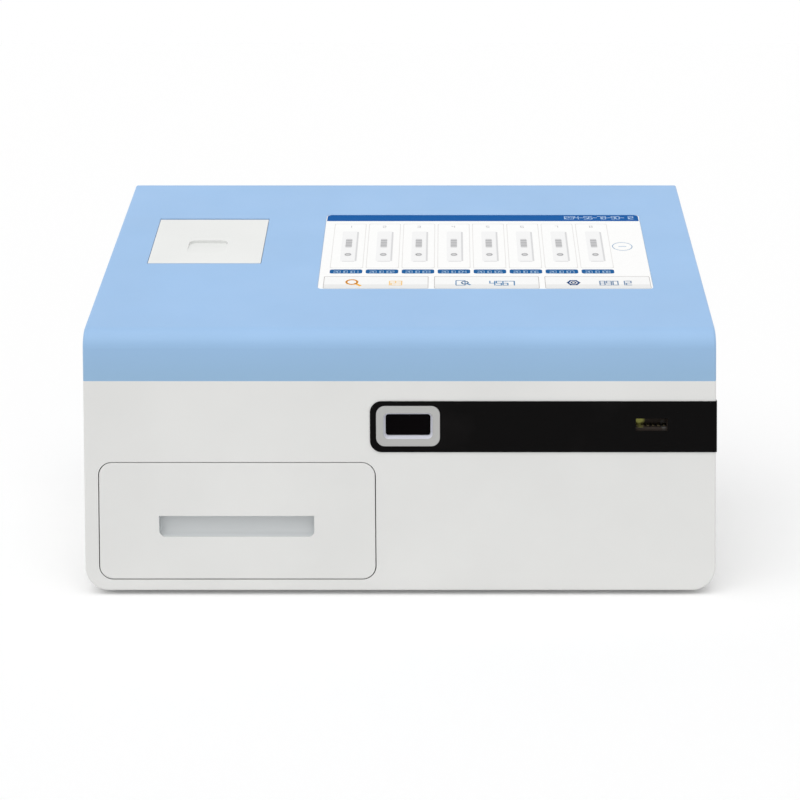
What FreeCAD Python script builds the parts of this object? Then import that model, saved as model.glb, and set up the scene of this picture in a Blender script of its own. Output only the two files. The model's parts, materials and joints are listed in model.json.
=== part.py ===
# Bench-top rapid test reader: a wedge case with a sloping top, a display, a receipt printer, a card
# inlet in a gloss black band and a waste drawer. Inside, a carousel carries the cards over a warm
# plate, past an optical head and on to a waste opening above the drawer.
#
# Frame: +Z up, +X to the right as seen from the front, +Y to the back. The origin is on the
# standing surface, below the middle of the case. All sizes are in millimetres.

import FreeCAD, Part
import math
import os

import Sketcher
from FreeCAD import Placement, Rotation, Vector

SIZES = {
    # Case
    "body_width": 408.4,
    "body_depth": 240.0,
    "brow_height": 172.8,
    "top_slope": 15.0,
    "side_draft": 1.5,
    "seam_drop": 30.8,
    "foot_height": 3.0,
    "corner_radius": 15.0,
    "brow_radius": 13.0,
    "rear_radius": 2.0,
    "edge_round": 1.5,
    "wall": 3.0,
    "tongue_height": 4.0,
    "foot_radius": 8.0,
    "foot_recess": 1.0,
    "foot_margin": 34.0,
    # Fits: face gap between fixed pieces, running fit of shafts, gap of moving pieces
    "fit_gap": 0.15,
    "running_gap": 0.05,
    "moving_gap": 0.4,
    # Front band, card inlet and chip socket
    "band_margin": 3.95,
    "band_drop": 29.6,
    "band_height": 33.3,
    "band_corner": 7.4,
    "band_thickness": 2.0,
    "band_proud": 0.6,
    "band_return": 14.0,
    "inlet_centre": 5.2,
    "inlet_drop": 29.1,
    "bezel_width": 40.5,
    "bezel_height": 26.2,
    "bezel_corner": 5.6,
    "bezel_proud": 1.0,
    "bezel_rim": 4.4,
    "sleeve_inset": 2.0,
    "sleeve_depth": 4.0,
    "inlet_width": 28.6,
    "inlet_height": 14.0,
    "inlet_corner": 1.9,
    "funnel_depth": 3.0,
    "flap_overlap": 1.0,
    "flap_thickness": 1.6,
    "flap_knuckle": 1.8,
    "flap_pin_radius": 0.8,
    "flap_ear": 2.3,
    "guide_cheek": 1.8,
    "guide_cheek_height": 5.0,
    "chip_margin": 43.95,
    "chip_drop": 28.3,
    "chip_width": 20.3,
    "chip_height": 8.2,
    "chip_depth": 14.0,
    "chip_wall": 1.5,
    "chip_contact_count": 6,
    "chip_contact_width": 1.4,
    "chip_contact_thickness": 0.6,
    "chip_contact_length": 7.0,
    # Drawer
    "drawer_margin": 9.7,
    "drawer_right": -16.1,
    "drawer_bottom": 11.0,
    "drawer_top_gap": 2.5,
    "drawer_corner": 8.6,
    "drawer_gap": 0.6,
    "drawer_front_thickness": 3.4,
    "drawer_edge_round": 0.6,
    "slot_width": 100.0,
    "slot_height": 14.4,
    "slot_drop": 3.6,
    "slot_corner": 4.5,
    "slot_depth": 8.0,
    "slot_rise": 1.2,
    "slot_hook": 7.0,
    "slot_wall": 2.0,
    "bin_side_gap": 4.6,
    "bin_floor_level": 12.8,
    "bin_rim_gap": 11.0,
    "bin_back_gap": 48.8,
    "bin_wall": 2.0,
    "bin_corner": 6.0,
    "bin_hold": 37.8,
    "stop_width": 3.0,
    "stop_length": 4.0,
    "stop_gap": 0.6,
    "runner_thickness": 3.5,
    "runner_foot": 14.0,
    "runner_height": 30.0,
    "runner_step": 1.5,
    "magnet_width": 20.0,
    "magnet_thickness": 5.0,
    "magnet_height": 10.0,
    "strike_thickness": 1.0,
    # Deck
    "deck_drop": 21.9,
    "deck_thickness": 2.0,
    "deck_margin": 0.5,
    "ledge_width": 5.0,
    "ledge_height": 5.0,
    "ledge_margin": 12.0,
    "post_x": -5.5,
    "post_margin": 45.0,
    "post_radius": 4.0,
    "collar_wall": 1.5,
    "collar_drop": 9.5,
    # Carousel and its plate
    "carousel_front_gap": 31.0,
    "carousel_back_gap": 9.0,
    "carousel_thickness": 8.0,
    "lane_count": 8,
    "lane_start": 29.0,
    "lane_width": 23.0,
    "keeper_radius": 46.0,
    "keeper_thickness": 2.0,
    "keeper_notch": 8.0,
    "hub_radius": 11.0,
    "hub_height": 4.0,
    "shaft_radius": 4.0,
    "bearing_radius": 8.0,
    "bearing_flange": 1.2,
    "plate_thickness": 3.0,
    "plate_overhang": 1.0,
    "spacer_radius": 4.0,
    "spacer_inset": 8.0,
    "spacer_angle": 65.0,
    "drop_margin": 1.5,
    "card_step": 0.2,
    # Belt drive
    "pulley_radius": 16.0,
    "pulley_ratio": 2.0,
    "pulley_width": 6.4,
    "pulley_lip": 1.0,
    "belt_width": 5.6,
    "belt_thickness": 1.4,
    "belt_centres": 60.0,
    "motor_side": 42.3,
    "motor_length": 38.0,
    "motor_boss_radius": 11.0,
    "motor_boss_height": 1.8,
    "motor_shaft_radius": 2.5,
    "motor_screw_pitch": 31.0,
    "motor_corner": 4.0,
    # Waste shutter
    "shutter_thickness": 1.5,
    "shutter_overlap": 2.0,
    "shutter_travel": 28.0,
    "shutter_guide_width": 4.6,
    "plunger_radius": 2.4,
    "plunger_length": 52.0,
    "plunger_height": 4.2,
    "solenoid_width": 14.0,
    "solenoid_length": 46.0,
    "solenoid_gap": 4.0,
    # Optics
    "bridge_gap": 5.85,
    "bridge_thickness": 1.5,
    "bridge_width": 102.0,
    "bridge_leg_width": 52.0,
    "bridge_clearance": 6.0,
    "bridge_foot": 9.0,
    "scan_inner": 49.5,
    "scan_travel": 40.0,
    "head_width": 34.0,
    "head_depth": 44.0,
    "head_height": 24.0,
    "head_clearance": 8.0,
    "lens_radius": 7.0,
    "lens_length": 4.5,
    "rod_radius": 2.5,
    "rod_spacing": 30.0,
    "rod_end": 6.0,
    "screw_radius": 2.5,
    "scan_motor_side": 20.0,
    "scan_motor_length": 28.0,
    # Display
    "screen_gap": 40.7,
    "screen_margin": 38.2,
    "screen_bottom": 66.7,
    "screen_top": 190.8,
    "screen_corner": 3.0,
    "glass_thickness": 1.1,
    "glass_recess": 0.2,
    "lcd_border": 5.0,
    "lcd_thickness": 6.0,
    "display_boss_offset": 10.0,
    "display_boss_radius": 3.5,
    "display_boss_inset": 10.0,
    "bracket_thickness": 1.5,
    "bracket_border": 15.0,
    # Printer
    "lid_margin": 32.1,
    "lid_width": 76.2,
    "lid_bottom": 107.5,
    "lid_top": 183.8,
    "lid_thickness": 4.0,
    "lid_gap": 0.4,
    "lid_pin_radius": 1.0,
    "lid_pin_reach": 4.0,
    "lid_boss_length": 6.0,
    "lid_boss_depth": 3.0,
    "finger_side": 24.3,
    "finger_width": 26.8,
    "finger_bottom": 126.0,
    "finger_top": 146.0,
    "finger_depth": 2.2,
    "finger_corner": 5.0,
    "printer_wall": 2.0,
    "printer_depth": 46.0,
    "printer_flange": 8.0,
    "printer_flange_thickness": 2.0,
    "roll_radius": 19.0,
    "roll_width": 57.0,
    "roll_bore": 6.0,
    "roll_clearance": 1.2,
    "roll_offset": 42.5,
    "platen_radius": 5.0,
    "platen_width": 58.0,
    "platen_shaft_radius": 2.0,
    "platen_offset": 9.5,
    "platen_drop": 9.0,
    "cheek_thickness": 3.0,
    "cheek_gap": 0.5,
    "print_head_thickness": 3.0,
    "print_head_height": 15.0,
    "print_head_gap": 0.6,
    "print_head_top": 11.0,
    # Electronics
    "board_thickness": 1.6,
    "board_gap": 34.1,
    "board_side": 26.2,
    "board_margin": 12.0,
    "board_depth": 78.0,
    "board_level": 12.0,
    "board_post_radius": 3.5,
    "board_inset": 6.0,
    "supply_side": 18.2,
    "supply_width": 99.0,
    "supply_height": 36.0,
    "supply_gap": 10.0,
    "supply_back_gap": 40.2,
    "supply_foot": 2.0,
    "supply_cover": 1.0,
    # Rear panel and its fittings
    "rear_proud": 3.0,
    "panel_margin": 29.2,
    "panel_bottom": 14.0,
    "panel_top": 130.0,
    "panel_thickness": 1.5,
    "panel_lip": 6.0,
    "panel_corner": 6.0,
    "panel_boss_radius": 3.6,
    "panel_boss_length": 6.0,
    "fan_side": 40.0,
    "fan_thickness": 15.0,
    "fan_bore": 18.5,
    "fan_hub": 9.0,
    "fan_corner": 3.0,
    "fan_spoke": 2.5,
    "fan_hub_plate": 2.0,
    "fan_tip_gap": 1.0,
    "fan_screw_pitch": 32.0,
    "blade_count": 7,
    "blade_chord": 9.0,
    "blade_thickness": 1.2,
    "blade_pitch": 35.0,
    "grille_count": 7,
    "grille_pitch": 5.0,
    "grille_slot": 2.8,
    "socket_margin": 35.0,
    "switch_spacing": 44.0,
    "fan_spacing": 51.0,
    "socket_flange_width": 48.0,
    "socket_flange_height": 24.0,
    "socket_body_width": 28.0,
    "socket_body_height": 20.5,
    "socket_body_depth": 24.0,
    "socket_mouth_width": 24.0,
    "socket_mouth_height": 16.5,
    "socket_mouth_chamfer": 4.0,
    "socket_mouth_depth": 19.0,
    "socket_screw_pitch": 40.0,
    "pin_width": 2.0,
    "pin_height": 5.0,
    "pin_length": 12.0,
    "pin_pitch": 14.0,
    "pin_stagger": 4.0,
    "switch_width": 15.0,
    "switch_height": 21.0,
    "switch_rim": 1.2,
    "switch_flange": 1.8,
    "switch_body_depth": 16.0,
    "rocker_angle": 8.0,
    "rocker_pin_radius": 1.5,
    "ports_margin": 3.0,
    "ports_width": 84.0,
    "ports_depth": 38.0,
    "ports_drop": 8.0,
    "port_proud": 1.0,
    "port_wall": 0.6,
    "usb_width": 14.0,
    "usb_height": 7.0,
    "lan_width": 16.0,
    "lan_height": 13.5,
    "serial_width": 20.0,
    "serial_height": 11.0,
    "port_length": 16.0,
    "port_gap": 4.0,
    "port_bank_wall": 0.7,
    # Screws
    "screw_head_radius": 2.75,
    "screw_head_height": 1.8,
    "screw_shank_radius": 1.45,
    "screw_length": 6.0,
    "screw_socket": 1.3,
    "screw_socket_depth": 1.0,
    # One overrun for every cut
    "overrun": 1.0,
}

document = FreeCAD.newDocument("rapid_test_reader")
sheet = document.addObject("Spreadsheet::Sheet", "sizes")


class Size:
    """A size as a formula over the sheet's cells, so that sizes add up like plain numbers."""

    def __init__(self, text):
        self.text = text

    def __add__(self, other):
        return Size(f"({self.text} + {text_of(other)})")

    def __sub__(self, other):
        return Size(f"({self.text} - {text_of(other)})")

    def __mul__(self, other):
        return Size(f"({self.text} * {text_of(other)})")

    def __truediv__(self, other):
        return Size(f"({self.text} / {text_of(other)})")

    def __neg__(self):
        return Size(f"(0 - {self.text})")


class Cells:
    """The sheet's cells by name."""

    def __getattr__(self, alias):
        if alias not in SIZES:
            raise AttributeError(alias)
        return Size(f"sizes.{alias}")


def text_of(size):
    return size.text if isinstance(size, Size) else repr(size)


def number(size):
    value = sheet.evalExpression(text_of(size))
    return float(getattr(value, "Value", value))


def cosine(size):
    return Size(f"cos({text_of(size)})")


def sine(size):
    return Size(f"sin({text_of(size)})")


def tangent(size):
    return Size(f"tan({text_of(size)})")


def arc_tangent(size):
    """An angle in degrees, as a plain number."""
    return Size(f"(atan({text_of(size)}) / 1 deg)")


def arc_sine(size):
    return Size(f"(asin({text_of(size)}) / 1 deg)")


def root(size):
    return Size(f"sqrt({text_of(size)})")


def larger(first, second):
    return Size(f"max({text_of(first)}; {text_of(second)})")


def centred(middle, width):
    return middle - width / 2, middle + width / 2


def fill_sheet():
    for row, (alias, value) in enumerate(SIZES.items(), 1):
        sheet.set(f"A{row}", alias)
        sheet.set(f"B{row}", str(value))
        sheet.setAlias(f"B{row}", alias)
    document.recompute()


fill_sheet()
S = Cells()

# Places that many pieces share
FRONT = (S.bezel_proud - S.body_depth - S.rear_proud) / 2
BACK = FRONT + S.body_depth
LEFT = -S.body_width / 2
RIGHT = S.body_width / 2
FLOOR = S.foot_height + S.wall
SEAM = S.seam_drop * cosine(S.top_slope)
SEAM_LEVEL = S.brow_height - S.seam_drop
BAND_LEFT = S.inlet_centre - S.bezel_width / 2 - S.band_margin
BAND_LEVEL = SEAM_LEVEL - S.band_drop
BAND_INSET = S.band_thickness - S.band_proud
INLET_LEVEL = SEAM_LEVEL - S.inlet_drop
CHIP_CENTRE = RIGHT - S.chip_margin
CHIP_LEVEL = SEAM_LEVEL - S.chip_drop
DECK_LEVEL = INLET_LEVEL - S.deck_drop
DECK_TOP = DECK_LEVEL + S.deck_thickness
CARD_LEVEL = INLET_LEVEL - S.inlet_height / 2 - S.card_step
PLATE_BOTTOM = CARD_LEVEL - S.plate_thickness
CAROUSEL_RADIUS = (S.body_depth - S.carousel_front_gap - S.carousel_back_gap) / 2
CAROUSEL_Y = FRONT + S.carousel_front_gap + CAROUSEL_RADIUS
CAROUSEL_BOTTOM = CARD_LEVEL + S.moving_gap
CAROUSEL_TOP = CAROUSEL_BOTTOM + S.carousel_thickness
DRAWER_X = (LEFT + S.drawer_margin, S.drawer_right)
DRAWER_Z = (S.drawer_bottom, DECK_LEVEL - S.drawer_top_gap)
SLOT_X = centred((DRAWER_X[0] + DRAWER_X[1]) / 2, S.slot_width)
SLOT_Z = centred((DRAWER_Z[0] + DRAWER_Z[1]) / 2 - S.slot_drop, S.slot_height)
BIN_RIM = DECK_LEVEL - S.bin_rim_gap
LID_X = (LEFT + S.lid_margin, LEFT + S.lid_margin + S.lid_width)
FINGER_X = (LID_X[0] + S.finger_side, LID_X[0] + S.finger_side + S.finger_width)
SCREEN_X = (LID_X[1] + S.screen_gap, RIGHT - S.screen_margin)
LCD_BACK = -S.wall - S.lcd_thickness
BRACKET_BACK = LCD_BACK - S.bracket_thickness
BOARD_X = (S.drawer_right + S.board_gap, RIGHT - S.board_side)
BOARD_Y = (FRONT + S.board_margin, FRONT + S.board_margin + S.board_depth)
PANEL_X = (LEFT + S.panel_margin, RIGHT - S.panel_margin)
REAR_LEVEL = (S.panel_bottom + S.panel_lip + DECK_LEVEL) / 2
SOCKET_X = PANEL_X[1] - S.socket_margin
SWITCH_X = SOCKET_X - S.switch_spacing
FAN_X = SWITCH_X - S.fan_spacing
PORTS_LEFT = PANEL_X[0] + S.ports_margin
PORTS_LEVEL = REAR_LEVEL - S.ports_drop


def half_width(level):
    """Half the outer width of the case at a height above the standing surface."""
    return S.body_width / 2 - (level - S.foot_height) * tangent(S.side_draft)


# Helpers for solids. Ranges are (low, high) pairs of sizes.

DIRECTIONS = {
    "up": (Vector(0, 0, 1), 0),
    "down": (Vector(1, 0, 0), 180),
    "back": (Vector(1, 0, 0), -90),
    "front": (Vector(1, 0, 0), 90),
    "right": (Vector(0, 1, 0), 90),
}


def bind(thing, **sizes):
    for name, size in sizes.items():
        thing.setExpression(name, text_of(size))


def put(thing, x, y, z, direction="up"):
    axis, angle = DIRECTIONS[direction]
    thing.Placement = Placement(Vector(), Rotation(axis, angle))
    for letter, size in zip("xyz", (x, y, z)):
        thing.setExpression(f"Placement.Base.{letter}", text_of(size))
    return thing


def slope_point(along, normal):
    """Y and Z of a point given up the slope from the brow line and out of the sloping face."""
    y = FRONT + along * cosine(S.top_slope) - normal * sine(S.top_slope)
    z = S.brow_height + along * sine(S.top_slope) + normal * cosine(S.top_slope)
    return y, z


def put_on_slope(thing, x, along, normal, turn=0):
    """Puts a thing in slope axes: X, up the slope, and out of it. turn tips it further about X."""
    y, z = slope_point(along, normal)
    thing.Placement = Placement(Vector(), Rotation(Vector(1, 0, 0), number(S.top_slope + turn)))
    thing.setExpression("Placement.Rotation.Angle", text_of(S.top_slope + turn))
    for letter, size in zip("xyz", (x, y, z)):
        thing.setExpression(f"Placement.Base.{letter}", text_of(size))
    return thing


def plain_box(xs, ys, zs):
    solid = document.addObject("Part::Box", "box")
    bind(solid, Length=xs[1] - xs[0], Width=ys[1] - ys[0], Height=zs[1] - zs[0])
    return solid


def plain_cylinder(radius, length):
    solid = document.addObject("Part::Cylinder", "cylinder")
    bind(solid, Radius=radius, Height=length)
    return solid


def block(xs, ys, zs):
    return put(plain_box(xs, ys, zs), xs[0], ys[0], zs[0])


def slope_block(xs, alongs, normals):
    return put_on_slope(plain_box(xs, alongs, normals), xs[0], alongs[0], normals[0])


def disc(x, y, zs, radius):
    return put(plain_cylinder(radius, zs[1] - zs[0]), x, y, zs[0])


def rod_x(xs, y, z, radius):
    return put(plain_cylinder(radius, xs[1] - xs[0]), xs[0], y, z, "right")


def rod_y(x, ys, z, radius):
    return put(plain_cylinder(radius, ys[1] - ys[0]), x, ys[0], z, "back")


def slope_rod_x(xs, along, normal, radius):
    y, z = slope_point(along, normal)
    return rod_x(xs, y, z, radius)


def slope_disc(x, along, normals, radius):
    return put_on_slope(plain_cylinder(radius, normals[1] - normals[0]), x, along, normals[0])


def fuse(*solids):
    if len(solids) == 1:
        return solids[0]
    result = document.addObject("Part::MultiFuse", "fuse")
    result.Shapes = list(solids)
    return result


def cut(base, *tools):
    result = document.addObject("Part::Cut", "cut")
    result.Base = base
    result.Tool = fuse(*tools)
    return result


def common(first, second):
    result = document.addObject("Part::MultiCommon", "common")
    result.Shapes = [first, second]
    return result


def group(solids):
    result = document.addObject("Part::Compound", "group")
    result.Links = list(solids)
    return result


def rectangle(first, second, radius=None):
    """Outline corners of a rectangle over two ranges, all with one corner radius."""
    return [
        (first[0], second[0], radius),
        (first[1], second[0], radius),
        (first[1], second[1], radius),
        (first[0], second[1], radius),
    ]


def fix_point(sketch, geometry, position, x, y, point):
    for kind, size, value in (("DistanceX", x, point.x), ("DistanceY", y, point.y)):
        index = sketch.addConstraint(Sketcher.Constraint(kind, geometry, position, value))
        sketch.setExpression(f"Constraints[{index}]", text_of(size))


def corner_arc(before, corner, after, radius):
    """The arc that rounds a corner between its neighbours, as three points."""
    back = (before - corner).normalize()
    ahead = (after - corner).normalize()
    half_angle = back.getAngle(ahead) / 2
    reach = radius / math.tan(half_angle)
    inward = (back + ahead).normalize()
    centre = corner + inward * (radius / math.sin(half_angle))
    return corner + back * reach, centre - inward * radius, corner + ahead * reach


def draw_outline(sketch, corners):
    """Draws a closed outline of (x, y, radius) corners and fixes it to the sheet's sizes."""
    points = [Vector(number(x), number(y), 0) for x, y, radius in corners]
    arcs = []
    for index, (x, y, radius) in enumerate(corners):
        if radius is None:
            arcs.append(None)
            continue
        after = points[(index + 1) % len(points)]
        arcs.append(corner_arc(points[index - 1], points[index], after, number(radius)))
    lines = []
    for index, arc in enumerate(arcs):
        following = (index + 1) % len(arcs)
        start = arc[2] if arc else points[index]
        end = arcs[following][0] if arcs[following] else points[following]
        lines.append(sketch.addGeometry(Part.LineSegment(start, end), False))
    for index, (x, y, radius) in enumerate(corners):
        before = lines[index - 1]
        after = lines[index]
        if radius is None:
            sketch.addConstraint(Sketcher.Constraint("Coincident", before, 2, after, 1))
            fix_point(sketch, after, 1, x, y, points[index])
            continue
        arc = sketch.addGeometry(Part.Arc(*arcs[index]), False)
        drawn = sketch.Geometry[arc]
        starts_first = (drawn.StartPoint - arcs[index][0]).Length < drawn.Radius / 1000
        near = 1 if starts_first else 2
        sketch.addConstraint(Sketcher.Constraint("Tangent", before, 2, arc, near))
        sketch.addConstraint(Sketcher.Constraint("Tangent", arc, 3 - near, after, 1))
        bend = sketch.addConstraint(Sketcher.Constraint("Radius", arc, number(radius)))
        sketch.setExpression(f"Constraints[{bend}]", text_of(radius))
        corner = sketch.addGeometry(Part.Point(points[index]), True)
        sketch.addConstraint(Sketcher.Constraint("PointOnObject", corner, 1, before))
        sketch.addConstraint(Sketcher.Constraint("PointOnObject", corner, 1, after))
        fix_point(sketch, corner, 1, x, y, points[index])


def pad(plane, corners, span, taper=None):
    """A body with one outline on an origin plane, padded over a range of the third axis."""
    body = document.addObject("PartDesign::Body", "body")
    origin_plane = [f for f in body.Origin.OriginFeatures if f.Role == f"{plane}_Plane"][0]
    sketch = body.newObject("Sketcher::SketchObject", "outline")
    sketch.AttachmentSupport = [(origin_plane, "")]
    sketch.MapMode = "FlatFace"
    draw_outline(sketch, corners)
    offset = -span[1] if plane == "XZ" else span[0]
    sketch.setExpression("AttachmentOffset.Base.z", text_of(offset))
    feature = body.newObject("PartDesign::Pad", "pad")
    feature.Profile = sketch
    bind(feature, Length=span[1] - span[0])
    if taper is not None:
        bind(feature, TaperAngle=taper)
    document.recompute()
    return body


def slope_pad(corners, normals):
    """A padded outline in slope axes: X and up the slope, padded out of it."""
    return put_on_slope(pad("XY", corners, normals), 0, Size("0"), Size("0"))


def round_edges(body, radius, wanted):
    """Rounds the edges of a body's last feature that the wanted test picks."""
    base = body.Tip
    shape = base.Shape
    names = [f"Edge{i}" for i, edge in enumerate(shape.Edges, 1) if wanted(shape, edge)]
    fillet = body.newObject("PartDesign::Fillet", "round")
    fillet.Base = (base, names)
    bind(fillet, Radius=radius)
    body.Tip = fillet
    document.recompute()
    return body


def is_sharp(shape, edge):
    """True where the two faces at an edge meet at a corner."""
    middle = edge.valueAt((edge.FirstParameter + edge.LastParameter) / 2)
    normals = []
    for face in shape.ancestorsOfType(edge, Part.Face):
        normals.append(face.normalAt(*face.Surface.parameter(middle)))
    return len(normals) == 2 and normals[0].getAngle(normals[1]) > math.radians(20)


def faces_front(shape, edge):
    """True for an edge of a body's front end, the one with the lowest Y."""
    low = shape.BoundBox.YMin
    return edge.BoundBox.YMax - low < shape.BoundBox.YLength / 1000


def screw(x, y, z, direction="up", length=None):
    """A pan head screw with a hex socket. Its head stands off the seat at x, y, z."""
    length = length or S.screw_length
    head = put(plain_cylinder(S.screw_head_radius, S.screw_head_height), 0, 0, 0)
    shank = put(plain_cylinder(S.screw_shank_radius, length), 0, 0, -length)
    socket = document.addObject("Part::Prism", "socket")
    bind(socket, Circumradius=S.screw_socket, Height=S.screw_socket_depth + S.overrun)
    put(socket, 0, 0, S.screw_head_height - S.screw_socket_depth)
    return put(cut(fuse(head, shank), socket), x, y, z, direction)


def slope_screw(x, along, normal):
    """The same screw driven up into the cover from below, square to the slope."""
    return put_on_slope(screw(0, 0, 0), x, along, normal, 180)


def screw_hole(x, y, z, direction="up"):
    """The hole of a screw, from its seat to just past its end."""
    hole = plain_cylinder(S.screw_shank_radius + S.running_gap, S.screw_length + S.overrun * 2)
    put(hole, 0, 0, -S.screw_length - S.overrun)
    return put(group([hole]), x, y, z, direction)


def slope_screw_hole(x, along, normal):
    hole = plain_cylinder(S.screw_shank_radius + S.running_gap, S.screw_length + S.overrun * 2)
    put(hole, 0, 0, -S.screw_length - S.overrun)
    return put_on_slope(group([hole]), x, along, normal, 180)


sub_parts = []


def sub_part(name, thing):
    """Keeps a finished piece under the name that its file gets."""
    thing.Label = name
    sub_parts.append(thing)
    return thing


# Case shells

def case_hull(inset, edge_radius=None):
    """The case as one solid, drawn in by an inset from its outer faces."""
    low = S.foot_height + inset
    high = S.brow_height * 2
    bend = larger(S.corner_radius - inset, S.edge_round)
    front_outline = [
        (inset - half_width(low), low, bend),
        (half_width(low) - inset, low, bend),
        (half_width(high) - inset, high, None),
        (inset - half_width(high), high, None),
    ]
    hull = pad("XZ", front_outline, (FRONT + inset, BACK - inset))
    drop = inset / cosine(S.top_slope)
    rise = tangent(S.top_slope)
    rear_top = S.brow_height + (S.body_depth - inset) * rise - drop
    brow_top = S.brow_height + inset * rise - drop
    side_outline = [
        (FRONT + inset, S.foot_height - S.overrun, None),
        (BACK - inset, S.foot_height - S.overrun, None),
        (BACK - inset, rear_top, larger(S.rear_radius - inset, S.edge_round)),
        (FRONT + inset, brow_top, larger(S.brow_radius - inset, S.edge_round)),
    ]
    side = pad("YZ", side_outline, (-S.body_width, S.body_width))
    overlap = hull.newObject("PartDesign::Boolean", "overlap")
    overlap.setObjects([side])
    overlap.Type = "Common"
    hull.Tip = overlap
    document.recompute()
    if edge_radius is not None:
        round_edges(hull, edge_radius, is_sharp)
    return hull


def seam_slab(low, high):
    """A slab parallel to the top, between two heights above the seam."""
    wide = (-S.body_width, S.body_width)
    long = (-S.body_depth, S.body_depth * 2)
    return slope_block(wide, long, (low - SEAM, high - SEAM))


def panel_screw_places():
    lip_x = RIGHT - S.panel_margin - S.panel_lip / 2
    for x in (-lip_x, Size("0"), lip_x):
        for z in (S.panel_bottom + S.panel_lip / 2, S.panel_top - S.panel_lip / 2):
            yield x, z


def cover_screw_places():
    z = SEAM_LEVEL + S.body_depth * tangent(S.top_slope) - S.panel_lip * 1.5
    for share in (-0.375, -0.125, 0.125, 0.375):
        yield S.body_width * share, z


def foot_places():
    x = S.body_width / 2 - S.foot_margin
    for side in (-x, x):
        for y in (FRONT + S.foot_margin, BACK - S.foot_margin):
            yield side, y


def board_post_places():
    for x in (BOARD_X[0] + S.board_inset, BOARD_X[1] - S.board_inset):
        for y in (BOARD_Y[0] + S.board_inset, BOARD_Y[1] - S.board_inset):
            yield x, y


def post_places():
    for y in (FRONT + S.post_margin, BACK - S.post_margin):
        yield S.post_x, y


def band_region(gap):
    """The band's outline through the front of the case, running off its right side."""
    z = (BAND_LEVEL - S.band_height / 2 - gap, BAND_LEVEL + S.band_height / 2 + gap)
    x = (BAND_LEFT - gap, S.body_width)
    bend = S.band_corner + gap
    corners = [(x[0], z[0], bend), (x[1], z[0], None), (x[1], z[1], None), (x[0], z[1], bend)]
    return pad("XZ", corners, (FRONT - S.overrun * 2, FRONT + S.band_return + gap))


def inlet_outline(width, height, corner):
    x = (S.inlet_centre - width / 2, S.inlet_centre + width / 2)
    z = (INLET_LEVEL - height / 2, INLET_LEVEL + height / 2)
    return rectangle(x, z, corner)


def sleeve_outline(gap):
    inset = S.sleeve_inset - gap
    return inlet_outline(S.bezel_width - inset * 2, S.bezel_height - inset * 2, S.bezel_corner - inset)


def chip_outline(gap):
    x = (CHIP_CENTRE - S.chip_width / 2 - gap, CHIP_CENTRE + S.chip_width / 2 + gap)
    z = (CHIP_LEVEL - S.chip_height / 2 - gap, CHIP_LEVEL + S.chip_height / 2 + gap)
    return rectangle(x, z)


def drawer_outline(gap):
    """Outline of the drawer front, grown by the gap. Its left side leans with the case's side."""
    x = (DRAWER_X[0] - gap, DRAWER_X[1] + gap)
    z = (DRAWER_Z[0] - gap, DRAWER_Z[1] + gap)
    lean = (z[1] - z[0]) * tangent(S.side_draft)
    bend = S.drawer_corner + gap
    return [(x[0], z[0], bend), (x[1], z[0], bend), (x[1], z[1], bend), (x[0] + lean, z[1], bend)]


def through_front():
    return FRONT - S.overrun, FRONT + S.wall + S.overrun


def base_housing(outer, inner, groove):
    shell = common(cut(outer, inner), seam_slab(-S.body_width, Size("0")))
    inner_half = case_hull(S.wall / 2)
    rabbet = common(inner_half, seam_slab(-S.tongue_height - S.fit_gap, S.overrun))
    additions = []
    for side in (-1, 1):
        face = (half_width(DECK_LEVEL) - S.wall / 2) * side
        edge = (half_width(DECK_LEVEL) - S.wall - S.ledge_width) * side
        xs = (face, edge) if side < 0 else (edge, face)
        ys = (FRONT + S.ledge_margin, BACK - S.ledge_margin)
        additions.append(block(xs, ys, (DECK_LEVEL - S.ledge_height, DECK_LEVEL)))
    for x, y in board_post_places():
        additions.append(disc(x, y, (FLOOR - S.overrun, S.board_level), S.board_post_radius))
    for x, z in panel_screw_places():
        ys = (BACK - S.wall - S.panel_boss_length, BACK - S.panel_thickness - S.overrun / 2)
        additions.append(rod_y(x, ys, z, S.panel_boss_radius))
    panel_z = (S.panel_bottom, S.panel_top)
    recess_y = (BACK - S.panel_thickness, BACK + S.overrun)
    recess = pad("XZ", rectangle(PANEL_X, panel_z, S.panel_corner), recess_y)
    opening_x = (PANEL_X[0] + S.panel_lip, PANEL_X[1] - S.panel_lip)
    opening_z = (panel_z[0] + S.panel_lip, panel_z[1] - S.panel_lip)
    opening_corner = larger(S.panel_corner - S.panel_lip, S.edge_round)
    opening_y = (BACK - S.wall * 2, BACK + S.overrun)
    opening = pad("XZ", rectangle(opening_x, opening_z, opening_corner), opening_y)
    cuts = [rabbet, groove, recess, opening]
    cuts.append(pad("XZ", drawer_outline(S.drawer_gap), through_front()))
    cuts.append(pad("XZ", sleeve_outline(S.fit_gap), through_front()))
    cuts.append(pad("XZ", chip_outline(S.chip_wall + S.fit_gap), through_front()))
    for x, y in foot_places():
        zs = (S.foot_height - S.overrun, S.foot_height + S.foot_recess)
        cuts.append(disc(x, y, zs, S.foot_radius + S.fit_gap))
    for x, z in panel_screw_places():
        cuts.append(screw_hole(x, BACK, z, "back"))
    for x, z in cover_screw_places():
        cuts.append(screw_hole(x, BACK, z, "back"))
    for x, y in board_post_places():
        cuts.append(screw_hole(x, y, S.board_level + S.board_thickness, "up"))
    for x, y in post_places():
        cuts.append(screw_hole(x, y, S.foot_height, "down"))
    for x, y in ledge_screw_places():
        cuts.append(screw_hole(x, y, DECK_TOP))
    sub_part("base_housing", cut(fuse(shell, *additions), *cuts))


def lid_outline(gap):
    x = (LID_X[0] - gap, LID_X[1] + gap)
    return rectangle(x, (S.lid_bottom - gap, S.lid_top + gap))


def screen_outline(gap):
    x = (SCREEN_X[0] - gap, SCREEN_X[1] + gap)
    return rectangle(x, (S.screen_bottom - gap, S.screen_top + gap), S.screen_corner + gap)


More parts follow.
